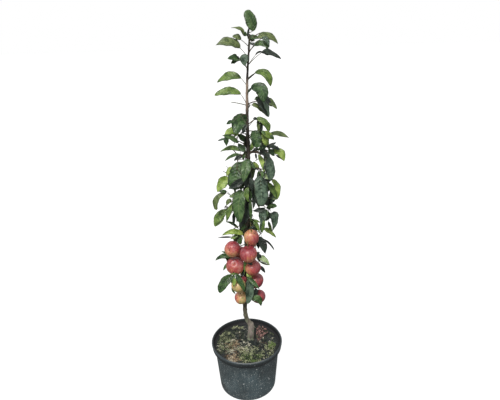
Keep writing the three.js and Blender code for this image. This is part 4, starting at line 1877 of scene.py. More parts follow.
    def _widen(self, leaf: Leaf, breadth: float, scale: float) -> None:
        """Set a leaf's width so that it looks as broad as was told, turned to the front if need be.

        Args:
            leaf: The leaf.
            breadth: Its breadth on the picture.
            scale: The length in metres that one unit of the picture covers there.
        """
        straight = [(show, 0.0) for show in (leaf.show, *self.shows_front)]
        stances = [(leaf.show, leaf.twist), *straight]
        for show, twist in stances:
            leaf.show = show
            leaf.twist = twist
            leaf.width = breadth * scale
            looks = self._looks_broad(leaf)
            if breadth / looks < self.most_widened:
                break
        leaf.width *= min(breadth / looks, self.most_widened)

    def _looks_broad(self, leaf: Leaf) -> float:
        """Return how broad a leaf looks on the picture, square to its midrib.

        Args:
            leaf: The leaf.

        Returns:
            Its greatest breadth, in units of the picture.
        """
        places = np.array([0.3, 0.4, 0.5, 0.6])
        _, across, up = leaf.frame_at(places)
        half = leaf.outline(places)[:, None]
        fold = math.radians(leaf.fold)
        rib = leaf.arc.at(places)
        ends = leaf.arc.at(places + 0.05)
        broadest = 0.0
        for i in range(len(places)):
            side = across[i] * math.cos(fold)
            rise = up[i] * math.sin(fold)
            left = self.view.spot(rib[i] + half[i] * (side + rise))
            right = self.view.spot(rib[i] + half[i] * (rise - side))
            way = unit(self.view.spot(ends[i]) - self.view.spot(rib[i]))
            gap = left - right
            broadest = max(broadest, abs(gap[0] * way[1] - gap[1] * way[0]))
        return broadest

    def _foot(self, seen: Seen, base: Array, spine: Array, spray: bool) -> Array:
        """Return where a seen leaf's stalk leaves the wood or its twig.

        Args:
            seen: Where the leaf is seen.
            base: The base of its blade.
            spine: Points along its mass's spine.
            spray: Whether a twig follows the spine.

        Returns:
            The nearest fitting place.
        """
        if seen.foot is not None:
            return self.wood.surface.nearest(self.view.place(seen.foot, self.wood.axis(base[2])[1]))
        feet = [self.wood.surface.nearest(base - UP * self.stalk_drop * MM)]
        if spray:
            feet.extend(spine[:6])
        return min(feet, key=lambda p: float(np.linalg.norm(p - base)))

    def _grow_back(self, mass: str) -> None:
        """Grow a mass of the back by the branching rule alone.

        Args:
            mass: The frame node of the mass.
        """
        limb = self.limbs[mass]
        tint = BACK_TINTS[mass]
        self.nodes[tint].append(mass)
        leaf = Leaf(tint, limb.arc.part(0.3, 1.0), limb.arc.start, 1.7 * limb.half)
        leaf.away = self._outward(limb.arc.end)
        leaf.detail = self.back_detail
        self._varied(leaf)
        if not any(self._covers(point) for point in leaf.arc.at(np.linspace(0.2, 1, 9))):
            self._add(leaf)
        self._grow_twig(limb, 0.62)
        self._grow_along(limb, self.leaves_at_back)

    def _grow_twig(self, limb: Limb, share: float) -> None:
        """Add the twig that carries a spray.

        Args:
            limb: The spine that it follows.
            share: How much of the spine it follows.
        """
        path = limb.arc.at(np.linspace(0, share, 8))
        path[0] -= self._outward(path[0]) * self.twig_sunk * MM
        radii = np.linspace(*self.twig_radii, 8) * MM
        radii[2::2] *= self.twig_knots
        add_tube(self.twigs, path, radii, 8)

    def _grow_along(self, limb: Limb, count: int) -> None:
        """Deal leaves along a spray's twig, each a golden angle round from the last.

        Args:
            limb: The spine of the twig.
            count: How many leaves are tried.
        """
        turn = self.dice.uniform(0, math.tau)
        for i in range(count):
            place = np.array([0.12 + 0.6 * (i + 0.5) / count])
            foot = limb.arc.at(place)[0]
            for _ in range(self.tries):
                turn += GOLDEN_ANGLE
                tint = self.twig_tints[self.dice.randrange(len(self.twig_tints))]
                leaf = self._sprouted(foot, limb.arc.way(place)[0], turn, tint, self.twig_lengths)
                if self._fits(leaf):
                    self._add(leaf)
                    break

    def _sprouted(self, foot: Array, along: Array, turn: float, tint: Tint, lengths: Pair) -> Leaf:
        """Make a leaf that leaves a twig at a turn about it and then hangs.

        Args:
            foot: Where it leaves the twig.
            along: The twig's direction there.
            turn: The angle round the twig.
            tint: Its colour.
            lengths: The shortest and the longest blade, in millimetres.

        Returns:
            The leaf.
        """
        side = unit(np.cross(along, UP) + 1e-6)
        other = np.cross(side, along)
        spread = math.cos(turn) * side + math.sin(turn) * other
        way = unit(0.5 * along + spread + 0.2 * UP)
        length = self.dice.uniform(*lengths) * MM
        base = foot + way * self.dice.uniform(*self.stalk_lengths) * MM
        level = unit(np.array([way[0], way[1], 0.0]) + 1e-6)
        droop = math.radians(self.dice.uniform(*self.droops))
        tip = base + length * (level * math.cos(droop) - UP * math.sin(droop))
        bow = unit(level * math.sin(droop) + UP * math.cos(droop)) * length * 0.13
        width = length * self.dice.uniform(*self.slimness)
        leaf = Leaf(tint, Arc.bowed(base, tip, bow), foot, width, self.dice.uniform(*self.shows))
        leaf.away = self._outward(tip)
        if self.dice.random() < self.sideways:
            leaf.away = np.array([self.dice.choice((-1.0, 1.0)), 0.0, 0.0])
            leaf.show = self.dice.uniform(*self.shows_sideways)
        return self._varied(leaf)

    def _fits(self, leaf: Leaf) -> bool:
        """Tell whether a leaf stays in the crown and clear of the trunk.

        Args:
            leaf: The leaf.

        Returns:
            True where it may stay.
        """
        line = leaf.arc.at(np.array([0.35, 0.65, 1.0]))
        if min(np.linalg.norm(p - self.wood.axis(p[2])) for p in line) < self.trunk_clear:
            return False
        stalk = [(leaf.foot + leaf.arc.start) / 2, leaf.arc.start]
        return all(self._allows(point) for point in (*stalk, *leaf.blade(leaf_pattern(6, 2))))

    def _allows(self, point: Array) -> bool:
        """Tell whether a hidden leaf may reach a point: in the crown, or out of sight near it.

        Args:
            point: The point.

        Returns:
            True where it may be reached.
        """
        outside = self.crown.surface.outside(point)
        if outside > self.far_reach or self._covers(point):
            return False
        if outside < self.reach:
            return True
        return self.screen.meets(point, unit(metres(self.view.studio.eye) - point))

    def _grow_spurs(self) -> None:
        """Grow short spurs to the back and the front, which give the crown its depth."""
        for height in np.arange(self.inner_from, self.spurs_to, self.spur_step):
            axis = self.wood.axis(height)
            angle = self.dice.choice((90, 90, 270)) + self.dice.uniform(-45, 45)
            out = np.array([math.cos(math.radians(angle)), math.sin(math.radians(angle)), 0.0])
            start = axis + out * self.wood.radius(height) * 0.6
            end = axis + (out + 0.35 * UP) * self.dice.uniform(*self.spur_lengths) * MM
            limb = Limb(Arc.bowed(start, end, UP * 3 * MM), 0.0)
            if all(self._allows(point) for point in limb.arc.at(np.linspace(0.3, 1, 5))):
                self._grow_twig(limb, 1.0)
                self._grow_along(limb, self.leaves_on_spur)

    def _grow_inner(self) -> None:
        """Fill the crown round the stem with smaller, shaded leaves on short spurs."""
        turn = 0.0
        height = self.inner_from
        grown = 0
        while height < self.inner_to:
            for _ in range(self.inner_tries):
                turn += GOLDEN_ANGLE
                axis = self.wood.axis(height)
                out = np.array([math.cos(turn), math.sin(turn), 0.0])
                foot = axis + out * self.wood.radius(height)
                tint = self.dice.choice(self.inner_tints)
                leaf = self._sprouted(foot, unit(out + 0.4 * UP), turn, tint, self.inner_lengths)
                if self._fits(leaf):
                    self._add(leaf)
                    grown += 1
                    break
            height += self.inner_step
        LOG.info("%d leaves inside the crown", grown)


@dataclass(frozen=True)
class FruitPlan:
    """One fruit: its cluster, middle, breadth, height for its breadth, and how it is coloured."""

    cluster: str
    middle: Spot
    diameter: float
    tallness: float = 0.92
    eye: Spot = (0.05, -0.1, -1.0)
    # How red the fruit is; the fruits that hang in shade are set redder and darker, so it holds painted
    # shade as well as ripeness.
    ripeness_and_shade: float = 0.75
    sunward: Spot = (-0.3, -0.4, 0.85)
    contrast: float = 0.22


FRUITS = (
    FruitPlan("front", (28.8, -12, 657.4), 54, 1.15, (0, 0.12, -1), 0.53, (0.5, -0.4, -0.1), 0.2),
    FruitPlan("left", (-42.3, -10, 612.6), 59.4, 0.95, (-0.4, -0.85, 0.3), 0.64, (0.3, 0.1, 0.95), 0.3),
    FruitPlan("front", (16.5, -42, 606), 61.6, 1.02, (0.05, 0.05, -1), 0.74, (-0.3, 0.1, 0.95), 0.3),
    FruitPlan("left", (-34.3, 0, 538.2), 68.2, 0.9, (-0.15, -0.69, 0.71), 0.73, (0.4, 0.1, 0.9), 0.3),
    FruitPlan("right", (31.8, -8, 531), 59.5, 0.95, (0.1, 0, -1), 0.72, (0.8, 0, 0.5), 0.3),
    FruitPlan("right", (40.3, 26, 455.5), 62, 0.95, (0.3, 0.1, -0.95), 0.76, (0.9, -0.1, -0.2), 0.3),
    FruitPlan("low_left", (-23.7, -42, 479.2), 52.6, 0.97, (-0.1, 0.1, -1), 0.22, (-0.3, 0, 0.9), 0.1),
    FruitPlan("low_left", (-17, -2, 399.3), 50.6, 0.95, (0.1, 0.1, -1), 0.36, (-1, 0.1, 0.2), 0.22),
    FruitPlan("low_right", (50.7, 10, 394.7), 54, 0.97, (0.2, 0.1, -1), 0.9, (0, 0, 1), 0.1),
    FruitPlan("low_left", (-10.8, -5, 478), 36, 1, (0.1, -0.1, -1), 0.85),
    FruitPlan("back", (26, 72, 600), 50, 0.93, (-0.1, 0.6, -0.8), 0.7, (0.2, 0.7, 0.6)),
    FruitPlan("back", (-16, 70, 550), 58, 0.92, (-0.3, 0.5, -0.8), 0.8, (0.1, 0.8, 0.5)),
    FruitPlan("back", (22, 72, 500), 57, 0.92, (0.3, 0.3, -0.9), 0.62, (0.3, 0.7, 0.6)),
)


@dataclass
class Fruit:
    """The fruits with their stalks and the dried flower parts in their eyes."""

    wood: Wood
    segments: int = 36
    rings: int = 26
    dimple: float = 0.11
    basin: float = 0.085
    stalk_reach: float = 14.0
    stalk_radii: Pair = (1.1, 1.7)
    sepals: int = 5
    sepal_radii: tuple[float, ...] = (1.0, 0.9, 0.7, 0.45, 0.15)

    def build(self) -> None:
        """Grow every fruit and make the pieces."""
        skins = Batch("fruits")
        stalks = Batch("fruit_stalks")
        eyes = Batch("fruit_eyes")
        pattern = self._pattern()
        for number, plan in enumerate(FRUITS):
            self._grow(plan, number, pattern, skins)
            self._grow_stalk(plan, stalks)
            self._grow_eye(plan, number, eyes)
        nodes = sorted({"fruit_cluster_" + plan.cluster for plan in FRUITS})
        settle(skins.piece([FruitFinish().material()]), nodes)
        stalk = SkinFinish("fruit_stalk", (70, 58, 36), (128, 120, 66), 0.6, 200)
        settle(stalks.piece([stalk.material()]))
        eye = SkinFinish("fruit_eye", (84, 56, 44), (150, 118, 88), 0.85, 300)
        settle(eyes.piece([eye.material()]))

    def _pattern(self) -> Pattern:
        """Turn the outline of a fruit of unit breadth, with its stalk end up.

        Returns:
            The pattern, one metre broad.
        """
        angles = np.linspace(0, math.pi, self.rings)
        radius = 0.5 * np.sin(angles) * (1 + 0.09 * np.cos(angles))
        height = 0.5 * np.cos(angles)
        top = self.dimple * np.exp(-((radius / 0.13) ** 2))
        bottom = self.basin * np.exp(-((radius / 0.125) ** 2))
        height = height - np.where(angles < math.pi / 2, top, -bottom)
        return Pattern.taken_from(spun(list(zip(radius / MM, height / MM)), self.segments))

    def _turn(self, plan: FruitPlan) -> Matrix:
        """Return the turn that points a fruit's eye where it looks."""
        return (-Vector(plan.eye)).to_track_quat("Z", "Y").to_matrix()

    def _grow(self, plan: FruitPlan, number: int, pattern: Pattern, skins: Batch) -> None:
        """Shape one fruit: faintly five-sided near its eye, and never quite round.

        Args:
            plan: The fruit.
            number: Its number, which varies it.
            pattern: The round fruit.
            skins: Where the skin goes.
        """
        local = pattern.points.copy()
        around = np.arctan2(local[:, 1], local[:, 0])
        low = np.clip(0.3 - local[:, 2], 0, 1)
        ribs = 0.035 * low * np.cos(5 * around + number)
        local[:, :2] *= (1 + ribs + 0.02 * np.cos(2 * around + 2 * number))[:, None]
        uneven = 1 + 0.03 * lumps(local + number, 2.2)
        shape = local * uneven[:, None] * np.array([1, 1, plan.tallness])
        turn = np.array(self._turn(plan))
        place = metres(plan.middle) + plan.diameter * MM * shape @ turn.T
        outward = unit(shape @ turn.T)
        sun = outward @ unit(np.array(plan.sunward))
        ends = np.exp(-((np.linalg.norm(local[:, :2], axis=1) / 0.12) ** 2))
        # The blush follows the ripeness, which also carries painted shade for the shaded fruits.
        blush = plan.ripeness_and_shade + plan.contrast * sun - 0.2 * ends
        blush += 0.12 * lumps(local + 3 * number, 1.7)
        skins.add(pattern, place, **{FRUIT_PLACE: local + number, FRUIT_BLUSH: np.clip(blush, 0, 1)})

    def _grow_stalk(self, plan: FruitPlan, stalks: Batch) -> None:
        """Add the stalk, from the dimple out and over to the nearest wood.

        Args:
            plan: The fruit.
            stalks: Where the stalk goes.
        """
        out = -unit(np.array(plan.eye))
        size = plan.diameter * MM
        foot = metres(plan.middle) + out * size * (0.5 * plan.tallness - self.dimple * 1.15)
        free = foot + out * 0.24 * size
        wood = self.wood.surface.nearest(free + UP * self.stalk_reach * MM)
        first = Arc(foot, foot + out * 0.16 * size, free).at(np.linspace(0, 1, 5))
        bend = Arc(free, free + out * 0.14 * size + UP * 4 * MM, wood).at(np.linspace(0, 1, 8))
        path = np.concatenate([first[:-1], bend])
        add_tube(stalks, path, np.linspace(*self.stalk_radii, len(path)) * MM, 8)

    def _grow_eye(self, plan: FruitPlan, number: int, eyes: Batch) -> None:
        """Add the dried sepals that close the eye.

        Args:
            plan: The fruit.
            number: Its number, which varies it.
            eyes: Where the sepals go.
        """
        turn = np.array(self._turn(plan))
        size = plan.diameter * MM
        deep = -(0.5 - self.basin) * plan.tallness
        for i in range(self.sepals):
            angle = math.tau * i / self.sepals + number
            ring = np.array([math.cos(angle), math.sin(angle), 0.0])
            root = ring * 0.035 + UP * (deep + 0.012)
            tip = ring * 0.012 + UP * (deep - 0.045)
            knee = ring * 0.06 + UP * (deep - 0.02)
            path = Arc(root, knee, tip).at(np.linspace(0, 1, 5))
            path = metres(plan.middle) + size * path @ turn.T
            add_tube(eyes, path, np.array(self.sepal_radii) * size * 0.02, 5)


@dataclass
class Trunk:
    """The rooted stub and the grafted stem on it, with their bark, and the short boughs."""

    wood: Wood
    sides: int = 40
    bough_sides: int = 20
    step: float = 3.5 * MM
    joint_step: float = 27 * MM
    joint_breadth: float = 0.13
    joint_swell: float = 0.13
    bark: float = 1.0 * MM
    stub_top: float = 262 * MM
    stub_cut: float = 236 * MM
    stub_sunk: float = 4 * MM
    stem_foot: float = 235 * MM
    bough_span: Pair = (600, 1100)
    bough_places: tuple[float, ...] = (0, 0.12, 0.9, 1)
    bough_radii: tuple[float, ...] = (5.4, 4.2, 2.9, 2.0)
    bough_ages: tuple[tuple[float, Rgb], ...] = ((0.0, (70, 56, 46)), (1.0, (84, 66, 52)))
    bark_from: float = 190.0
    bark_to: float = 1345.0
    ages: tuple[tuple[float, Rgb], ...] = (
        (0.0, (72, 66, 60)),
        (0.014, (118, 108, 102)),
        (0.03, (156, 146, 138)),
        (0.05, (148, 138, 130)),
        (0.085, (98, 94, 76)),
        (0.2, (80, 78, 62)),
        (0.6, (68, 62, 56)),
        (0.79, (76, 66, 60)),
        (0.815, (160, 140, 124)),
        (0.87, (164, 146, 132)),
        (0.885, (48, 42, 40)),
        (0.96, (54, 50, 42)),
        (1.0, (66, 68, 44)),
    )

    def build(self) -> None:
        """Make the trunk and the boughs."""
        self._trunk()
        self._boughs()

    def _joints(self, height: Array) -> Array:
        """Return how much the stem swells at its old leaf joints."""
        phase = (height + 4 * MM * np.sin(height * 37)) / self.joint_step
        return np.exp(-(((phase - np.rint(phase)) / self.joint_breadth) ** 2))

    def _rough(self, line: Array, radii: Array, sides: int, coarse: float) -> Pattern:
        """Bend a tube along a line and push its points in and out: furrows, lumps and grain.

        Args:
            line: The middle line.
            radii: The radius at each point of it.
            sides: How many sides the tube has.
            coarse: How high the lumps are, in millimetres.

        Returns:
            The roughened tube, in its place.
        """
        tube = tube_pattern(sides, len(line))
        points = bend_tube(tube, line, radii)
        middle = line[np.rint(tube.points[:, 2]).astype(int)]
        stretched = points * np.array([1, 1, 0.22])
        furrows = lumps(stretched, 210) * 0.35 + lumps(stretched, 90, 5) * 0.4
        coarser = lumps(points, 60, 9) * coarse
        points = points + unit(points - middle) * ((furrows + coarser) * MM)[:, None]
        return Pattern(points, tube.faces, tube.slots)

    def _stem(self) -> Pattern:
        """Bend and roughen the stem.

        Returns:
            The stem, in its place.
        """
        wood = self.wood
        top = wood.heights[-1]
        heights = np.arange(wood.graft, top, self.step)
        line = np.array([wood.axis(h) for h in heights])
        radii = np.array([wood.radius(h) for h in heights])
        radii = (radii + self.bark) * (1 + self.joint_swell * self._joints(heights))
        stub, _ = wood.slice(self.stem_foot)
        bend = Arc(stub, stub + UP * 20 * MM, line[0]).at(np.linspace(0, 1, 12))[:-1]
        line = np.concatenate([bend, line])
        radii = np.concatenate([np.linspace(radii[0] * 1.15, radii[0], 11), radii])
        return self._rough(line, radii, self.sides, 0.25)

    def _stub(self) -> Pattern:
        """Bend and roughen the stub, with its flared foot and its rounded cut top.

        Returns:
            The stub, in its place.
        """
        wood = self.wood
        sliced = np.linspace(wood.soil_top + 0.3 * MM, self.stub_cut, 16)
        cuts = [wood.slice(h) for h in sliced]
        line = [middle for middle, _ in cuts]
        radii = [radius for _, radius in cuts]
        lean = (line[-1] - line[0]) / (sliced[-1] - sliced[0])
        top, breadth = cuts[-1]
        for share in np.linspace(0.15, 1, 8):
            rise = share * (self.stub_top - sliced[-1])
            line.append(top + lean * rise)
            radii.append(breadth * math.sqrt(max(1 - 0.72 * share**3, 0.1)))
        line[0] = line[0] - UP * self.stub_sunk
        return self._rough(np.array(line), np.array(radii), self.sides, 1.5)

    def _trunk(self) -> None:
        """Join stub and stem into one skin."""
        parts = []
        for name, shape in (("trunk", self._stem()), ("stub", self._stub())):
            batch = Batch(name)
            batch.add(shape, shape.points)
            parts.append(batch.piece([]))
        joined = combined(*parts, "UNION")
        bark = BarkFinish("trunk_bark", self.ages, self.bark_from, self.bark_to)
        settle(finished("trunk", joined, [bark.material()]), ["trunk"])

    def _boughs(self) -> None:
        """Make the boughs as one roughened piece."""
        batch = Batch("boughs")
        trunk = Surface.of_nodes(["trunk"])
        for name in self.wood.boughs:
            points, _ = mesh_parts(name)
            start = self.wood.axis(float(points[:, 2].mean()))
            limb = Limb.read(name, trunk)
            places = np.linspace(0, 1, 18)
            path = limb.arc.at(places)
            path[0] = path[0] + (start - path[0]) * 0.3
            radii = np.interp(places, self.bough_places, self.bough_radii) * MM
            radii *= 1 + 0.16 * np.exp(-(((places * 5) % 1 - 0.5) / 0.16) ** 2)
            tube = self._rough(path, radii, self.bough_sides, 0.4)
            batch.add(tube, tube.points)
        bark = BarkFinish("bough_bark", self.bough_ages, *self.bough_span, lichen_top=0)
        settle(batch.piece([bark.material()]), self.wood.boughs)


@dataclass
class Pot:
    """The round nursery pot: tapered wall, ledge, band and rolled lip, with drain holes."""

    segments: int = 160
    foot: float = 112.5
    shoulder: float = 127.6
    ledge: float = 180.5
    band: float = 137.2
    rim: float = 140.0
    height: float = 203.0
    wall: float = 2.5
    band_wall: float = 4.0
    floor: float = 3.0
    holes: int = 8
    hole_radius: float = 6.0
    hole_circle: float = 92.0
    hole_sides: int = 24
    drill_depth: float = 20 * MM

    def build(self) -> None:
        """Turn the pot and cut its drain holes."""
        bm = spun(self._outline(), self.segments)
        pot = finished("pot", mesh_of("pot", bm), [])
        drill = finished("drill", mesh_of("drill", self._drill()), [])
        mesh = combined(pot, drill, "DIFFERENCE")
        piece = finished("pot", mesh, [PotFinish().material()])
        mesh.set_sharp_from_angle(angle=math.radians(50))
        settle(piece, ["pot"])

    def _outline(self) -> list[tuple[float, float]]:
        """Return the pot's outline from the middle of its underside round to its floor.

        Returns:
            Pairs of radius and height, in millimetres.
        """
        slope = (self.shoulder - self.foot) / self.ledge
        inner_foot = self.foot + slope * self.floor - self.wall
        inner = self.band - self.band_wall
        shelf = self.ledge + self.wall
        return [
            (0, 0),
            (self.foot - 3, 0),
            (self.foot - 1.2, 0.4),
            (self.foot - 0.2, 1.6),
            (self.foot + 0.3, 4),
            (self.foot + slope * 90, 90),
            (self.shoulder - 0.1, self.ledge - 1),
            (self.shoulder + 0.6, self.ledge),
            (self.band - 1, self.ledge),
            (self.band, self.ledge + 1),
            (self.band + 0.5, self.height - 9),
            (self.rim - 0.5, self.height - 7.5),
            (self.rim, self.height - 5),
            (self.rim, self.height - 2.4),
            (self.rim - 1.0, self.height - 0.7),
            (self.rim - 2.6, self.height),
            (inner + 2.0, self.height),
            (inner + 0.6, self.height - 0.7),
            (inner, self.height - 2.2),
            (inner - 1.0, shelf + 1.5),
            (inner - 2.4, shelf),
            (self.shoulder - self.wall + 1, shelf),
            (self.shoulder - self.wall, shelf - 1),
            (inner_foot, self.floor),
            (0, self.floor),
        ]

    def _drill(self) -> bmesh.types.BMesh:
        """Make the cylinders that cut the drain holes.

        Returns:
            The cylinders, in metres.
        """
        bm = bmesh.new()
        radius = self.hole_radius * MM
        for i in range(self.holes):
            angle = math.tau * (i + 0.5) / self.holes
            spot = Vector((math.cos(angle), math.sin(angle), 0)) * self.hole_circle * MM
            place = Matrix.Translation(spot)
            bmesh.ops.create_cone(
                bm,
                cap_ends=True,
                segments=self.hole_sides,
                radius1=radius,
                radius2=radius,
                depth=self.drill_depth,
                matrix=place,
            )
        return bm


@dataclass(frozen=True)
class Patch:
    """A patch of growth or litter on the soil: middle, half extents, count and sizes."""

    kind: str
    x: float
    y: float
    half_x: float
    half_y: float
    count: int
    least: float = 6.0
    most: float = 13.0


PATCHES = (
    Patch("moss_olive", -84, 6, 38, 72, 520, 5, 10),
    Patch("moss_dark", -70, 20, 52, 80, 420, 5, 10),
    Patch("moss_pale", -84, 10, 38, 66, 300, 4, 9),
    Patch("litter_straw", -80, -10, 38, 60, 160, 4, 10),
    Patch("moss_dark", -10, 66, 90, 50, 300, 3, 8),
    Patch("moss_olive", -20, 60, 80, 50, 50, 4, 8),
    Patch("moss_dark", 0, 30, 110, 80, 260, 4, 9),
    Patch("litter_tan", -56, -10, 30, 28, 260, 5, 13),
    Patch("litter_brown", -46, -60, 44, 46, 360, 5, 13),
    Patch("litter_tan", -44, -78, 34, 30, 220, 4, 11),
    Patch("litter_straw", -46, -72, 36, 34, 80, 5, 12),
    Patch("moss_fresh", 18, -88, 40, 24, 300, 5, 11),
    Patch("moss_pale", 16, -84, 46, 34, 190, 5, 12),
    Patch("moss_dark", 20, -80, 52, 38, 420, 5, 11),
    Patch("litter_straw", -8, -34, 32, 38, 150, 6, 18),
    Patch("moss_pale", 0, -48, 44, 36, 200, 5, 12),
    Patch("moss_dark", 10, -50, 60, 50, 420, 5, 10),
    Patch("moss_dark", 14, -6, 34, 26, 260, 4, 9),
    Patch("moss_fresh", 98, -22, 14, 20, 90, 7, 14),
    Patch("moss_pale", 92, -24, 18, 24, 90, 6, 12),
    Patch("moss_pale", 78, -72, 28, 30, 130, 4, 10),
    Patch("moss_dark", 70, -40, 48, 60, 300, 4, 9),
    Patch("moss_olive", 66, -50, 50, 52, 150, 4, 8),
    Patch("moss_pale", -42, 108, 30, 16, 90, 4, 9),
    Patch("litter_straw", 0, 0, 112, 112, 330, 3, 7),
    Patch("litter_brown", 0, 0, 112, 112, 260, 4, 10),
    Patch("moss_olive", 90, 50, 26, 40, 60, 4, 8),
    Patch("litter_red", 54, 52, 22, 36, 80, 4, 10),
    Patch("litter_red", 68, 80, 14, 22, 56, 4, 10),
    Patch("moss_dark", 56, 56, 28, 44, 160, 4, 9),
    Patch("moss_olive", 56, 50, 26, 42, 70, 4, 9),
)

STONES = Patch("grit", 0, 0, 118, 118, 190)
STONE_SIZES = (0.9, 1.2, 1.5, 2.2, 3.2)
HEAP = Patch("litter_red", 58, 56, 21, 42, 46, 6, 14)

COVERS = (
    SkinFinish("moss_olive", (48, 54, 42), (122, 130, 98), 0.8, 180),
    SkinFinish("moss_dark", (16, 23, 23), (48, 60, 54), 0.85, 180),
    SkinFinish("moss_pale", (116, 126, 90), (218, 222, 178), 0.8, 180),
    SkinFinish("moss_fresh", (56, 78, 36), (140, 166, 92), 0.75, 180),
    SkinFinish("litter_tan", (100, 82, 62), (192, 170, 136), 0.8, 180),
    SkinFinish("litter_brown", (40, 32, 26), (120, 98, 76), 0.85, 180),
    SkinFinish("litter_straw", (168, 164, 144), (234, 230, 208), 0.8, 180),
    SkinFinish("litter_red", (70, 56, 52), (160, 120, 112), 0.75, 90),
    SkinFinish("grit", (48, 46, 42), (140, 138, 128), 0.85),
)


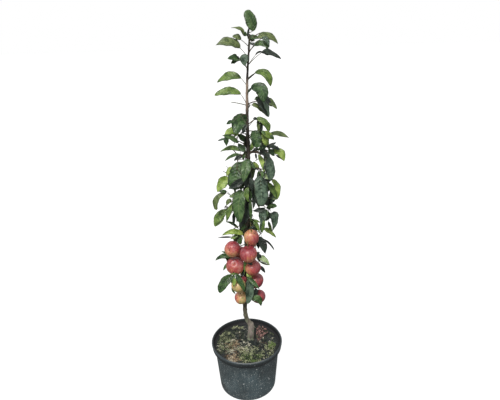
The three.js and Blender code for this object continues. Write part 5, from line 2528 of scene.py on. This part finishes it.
@dataclass
class Soil:
    """The soil in the pot, with moss, straw, fallen leaves and grit on it."""

    wood: Wood
    segments: int = 180
    rings: int = 62
    seed: int = 23
    edge_drop: float = 3.0
    trunk_clear: float = 13.0
    tuft: int = 8
    tuft_reach: float = 3.0
    narrowing: float = 17.1
    wall_height: float = 180.5
    mound_from: float = 16.0
    mound_over: float = 40.0
    edge_clear: float = 4.0
    blade_radii: tuple[float, ...] = (0.7, 1.0, 0.8, 0.2)
    stone_stretch: Spot = (1.2, 0.9, 0.65)

    def __post_init__(self) -> None:
        """Read the soil's size off the frame and start the dice."""
        low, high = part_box("soil")
        self.bottom = low.z / MM
        self.level = self.wood.soil_top / MM - 0.4
        self.edge = high.x / MM
        self.dice = random.Random(self.seed)
        self.root, _ = self.wood.slice(self.wood.soil_top + 2 * MM)

    def build(self) -> None:
        """Make the soil and everything that lies on it."""
        self._ground()
        covers = {cover.name: Batch("soil_" + cover.name) for cover in COVERS}
        for patch in PATCHES:
            self._strew(patch, covers[patch.kind])
        self._grit(covers["grit"])
        self._fallen(covers["litter_red"])
        for cover in COVERS:
            settle(covers[cover.name].piece([cover.material()]))

    def height(self, x: float, y: float) -> float:
        """Return the height of the soil's skin at a place, all in millimetres.

        Args:
            x: How far right the place is.
            y: How far back the place is.

        Returns:
            The height there.
        """
        away = math.hypot(x - self.root[0] / MM, y - self.root[1] / MM)
        free = min(max((away - self.mound_from) / self.mound_over, 0), 1)
        place = Vector((x, y, 0))
        mound = 4.2 * noise.noise(place / 42) + 2.2 * noise.noise(place / 15 + Vector((4, 1, 2)))
        crumb = 1.3 * noise.noise(place / 5.5) + 0.7 * noise.noise(place / 2.4)
        rim = max(math.hypot(x, y) - 0.86 * self.edge, 0) / (0.14 * self.edge)
        return self.level + free * (mound + 0.6) + crumb - self.edge_drop * rim

    def _ground(self) -> None:
        """Turn the plug of soil and raise its top into mounds and crumbs."""
        foot = self.edge - (self.level - self.bottom) * self.narrowing / self.wall_height
        top = [(self.edge * i / self.rings, self.level) for i in range(self.rings, 0, -1)]
        outline = [(0, self.bottom), (foot, self.bottom), *top, (0, self.level)]
        bm = spun(outline, self.segments)
        for vert in bm.verts:
            if vert.co.z > (self.level - 1) * MM:
                vert.co.z = self.height(vert.co.x / MM, vert.co.y / MM) * MM
        piece = finished("soil", mesh_of("soil", bm), [SoilFinish().material()])
        settle(piece, ["soil"])

    def _spot(self, patch: Patch) -> Optional[tuple[float, float]]:
        """Throw a place in a patch, or nothing where it misses the soil.

        Args:
            patch: The patch.

        Returns:
            The place in millimetres, or nothing.
        """
        angle = self.dice.uniform(0, math.tau)
        reach = math.sqrt(self.dice.random())
        x = patch.x + patch.half_x * reach * math.cos(angle)
        y = patch.y + patch.half_y * reach * math.sin(angle)
        clear = math.hypot(x - self.root[0] / MM, y - self.root[1] / MM) > self.trunk_clear
        return (x, y) if clear and math.hypot(x, y) < self.edge - self.edge_clear else None

    def _strew(self, patch: Patch, batch: Batch) -> None:
        """Scatter small curved blades over a patch: moss stands up and litter lies.

        Args:
            patch: The patch.
            batch: Where the shapes go.
        """
        upright = patch.kind.startswith("moss")
        pattern = tube_pattern(3, 4)
        tuft = None
        for number in range(patch.count):
            if number % self.tuft == 0:
                tuft = self._spot(patch)
            if tuft is None:
                continue
            spot = [value + self.dice.uniform(-self.tuft_reach, self.tuft_reach) for value in tuft]
            length = self.dice.uniform(patch.least, patch.most)
            turn = self.dice.uniform(0, math.tau)
            level = np.array([math.cos(turn), math.sin(turn), 0.0])
            rise = self.dice.uniform(0.35, 1.1) if upright else self.dice.uniform(-0.05, 0.25)
            foot = metres((*spot, self.height(*spot) - 0.5))
            tip = foot + (level + UP * rise) * length * MM
            tip[2] = max(tip[2], self.height(tip[0] / MM, tip[1] / MM) * MM + 0.4 * MM)
            if math.hypot(tip[0], tip[1]) > self.edge * MM:
                continue
            path = Arc.bowed(foot, tip, UP * length * 0.16 * MM).at(np.linspace(0, 1, 4))
            breadth = self.dice.uniform(0.4, 0.9) * (1 if upright else 1.2)
            batch.add(pattern, bend_tube(pattern, path, np.array(self.blade_radii) * breadth * MM))

    def _grit(self, batch: Batch) -> None:
        """Scatter crumbs and small stones, flattened and turned by chance.

        Args:
            batch: Where the shapes go.
        """
        pattern = ball_pattern(1)
        for _ in range(STONES.count):
            spot = self._spot(STONES)
            if spot is None:
                continue
            size = self.dice.choice(STONE_SIZES)
            middle = metres((*spot, self.height(*spot) + 0.3 * size))
            jitter = 1 + 0.3 * lumps(pattern.points + spot[0], 0.9)
            shape = pattern.points * jitter[:, None] * np.array(self.stone_stretch) * size * MM
            turn = np.array(Matrix.Rotation(self.dice.uniform(0, math.tau), 3, "Z"))
            batch.add(pattern, middle + shape @ turn.T)

    def _fallen(self, batch: Batch) -> None:
        """Heap small reddish fallen leaves behind the stub on the right.

        Args:
            batch: Where the shapes go.
        """
        pattern = leaf_pattern(8, 4)
        for _ in range(HEAP.count):
            spot = self._spot(HEAP)
            if spot is None:
                continue
            length = self.dice.uniform(HEAP.least, HEAP.most)
            turn = self.dice.uniform(0, math.tau)
            level = np.array([math.cos(turn), math.sin(turn), self.dice.uniform(-0.1, 0.8)])
            base = metres((*spot, self.height(*spot) + self.dice.uniform(1, 7)))
            tip = base + unit(level) * length * MM
            if math.hypot(tip[0], tip[1]) > (self.edge - 3) * MM:
                continue
            arc = Arc.bowed(base, tip, UP * length * 0.2 * MM)
            leaf = Leaf(DARK, arc, base, length * 0.62 * MM, self.dice.uniform(0, 40))
            leaf.fold = self.dice.uniform(-25, 30)
            leaf.wave = 0.3
            leaf.seed = turn
            shape = Pattern(pattern.points, pattern.faces, [0] * len(pattern.slots))
            batch.add(shape, leaf.blade(pattern))


def main() -> None:
    """Build the studio, the pot and the tree."""
    logging.basicConfig(level=logging.INFO, format="%(message)s")
    studio = Studio()
    studio.build()
    wood = Wood()
    crown = Canopy()
    Pot().build()
    Soil(wood).build()
    Trunk(wood).build()
    Foliage(wood, crown, View(studio)).build()
    Fruit(wood).build()


if __name__ == "__main__":
    main()
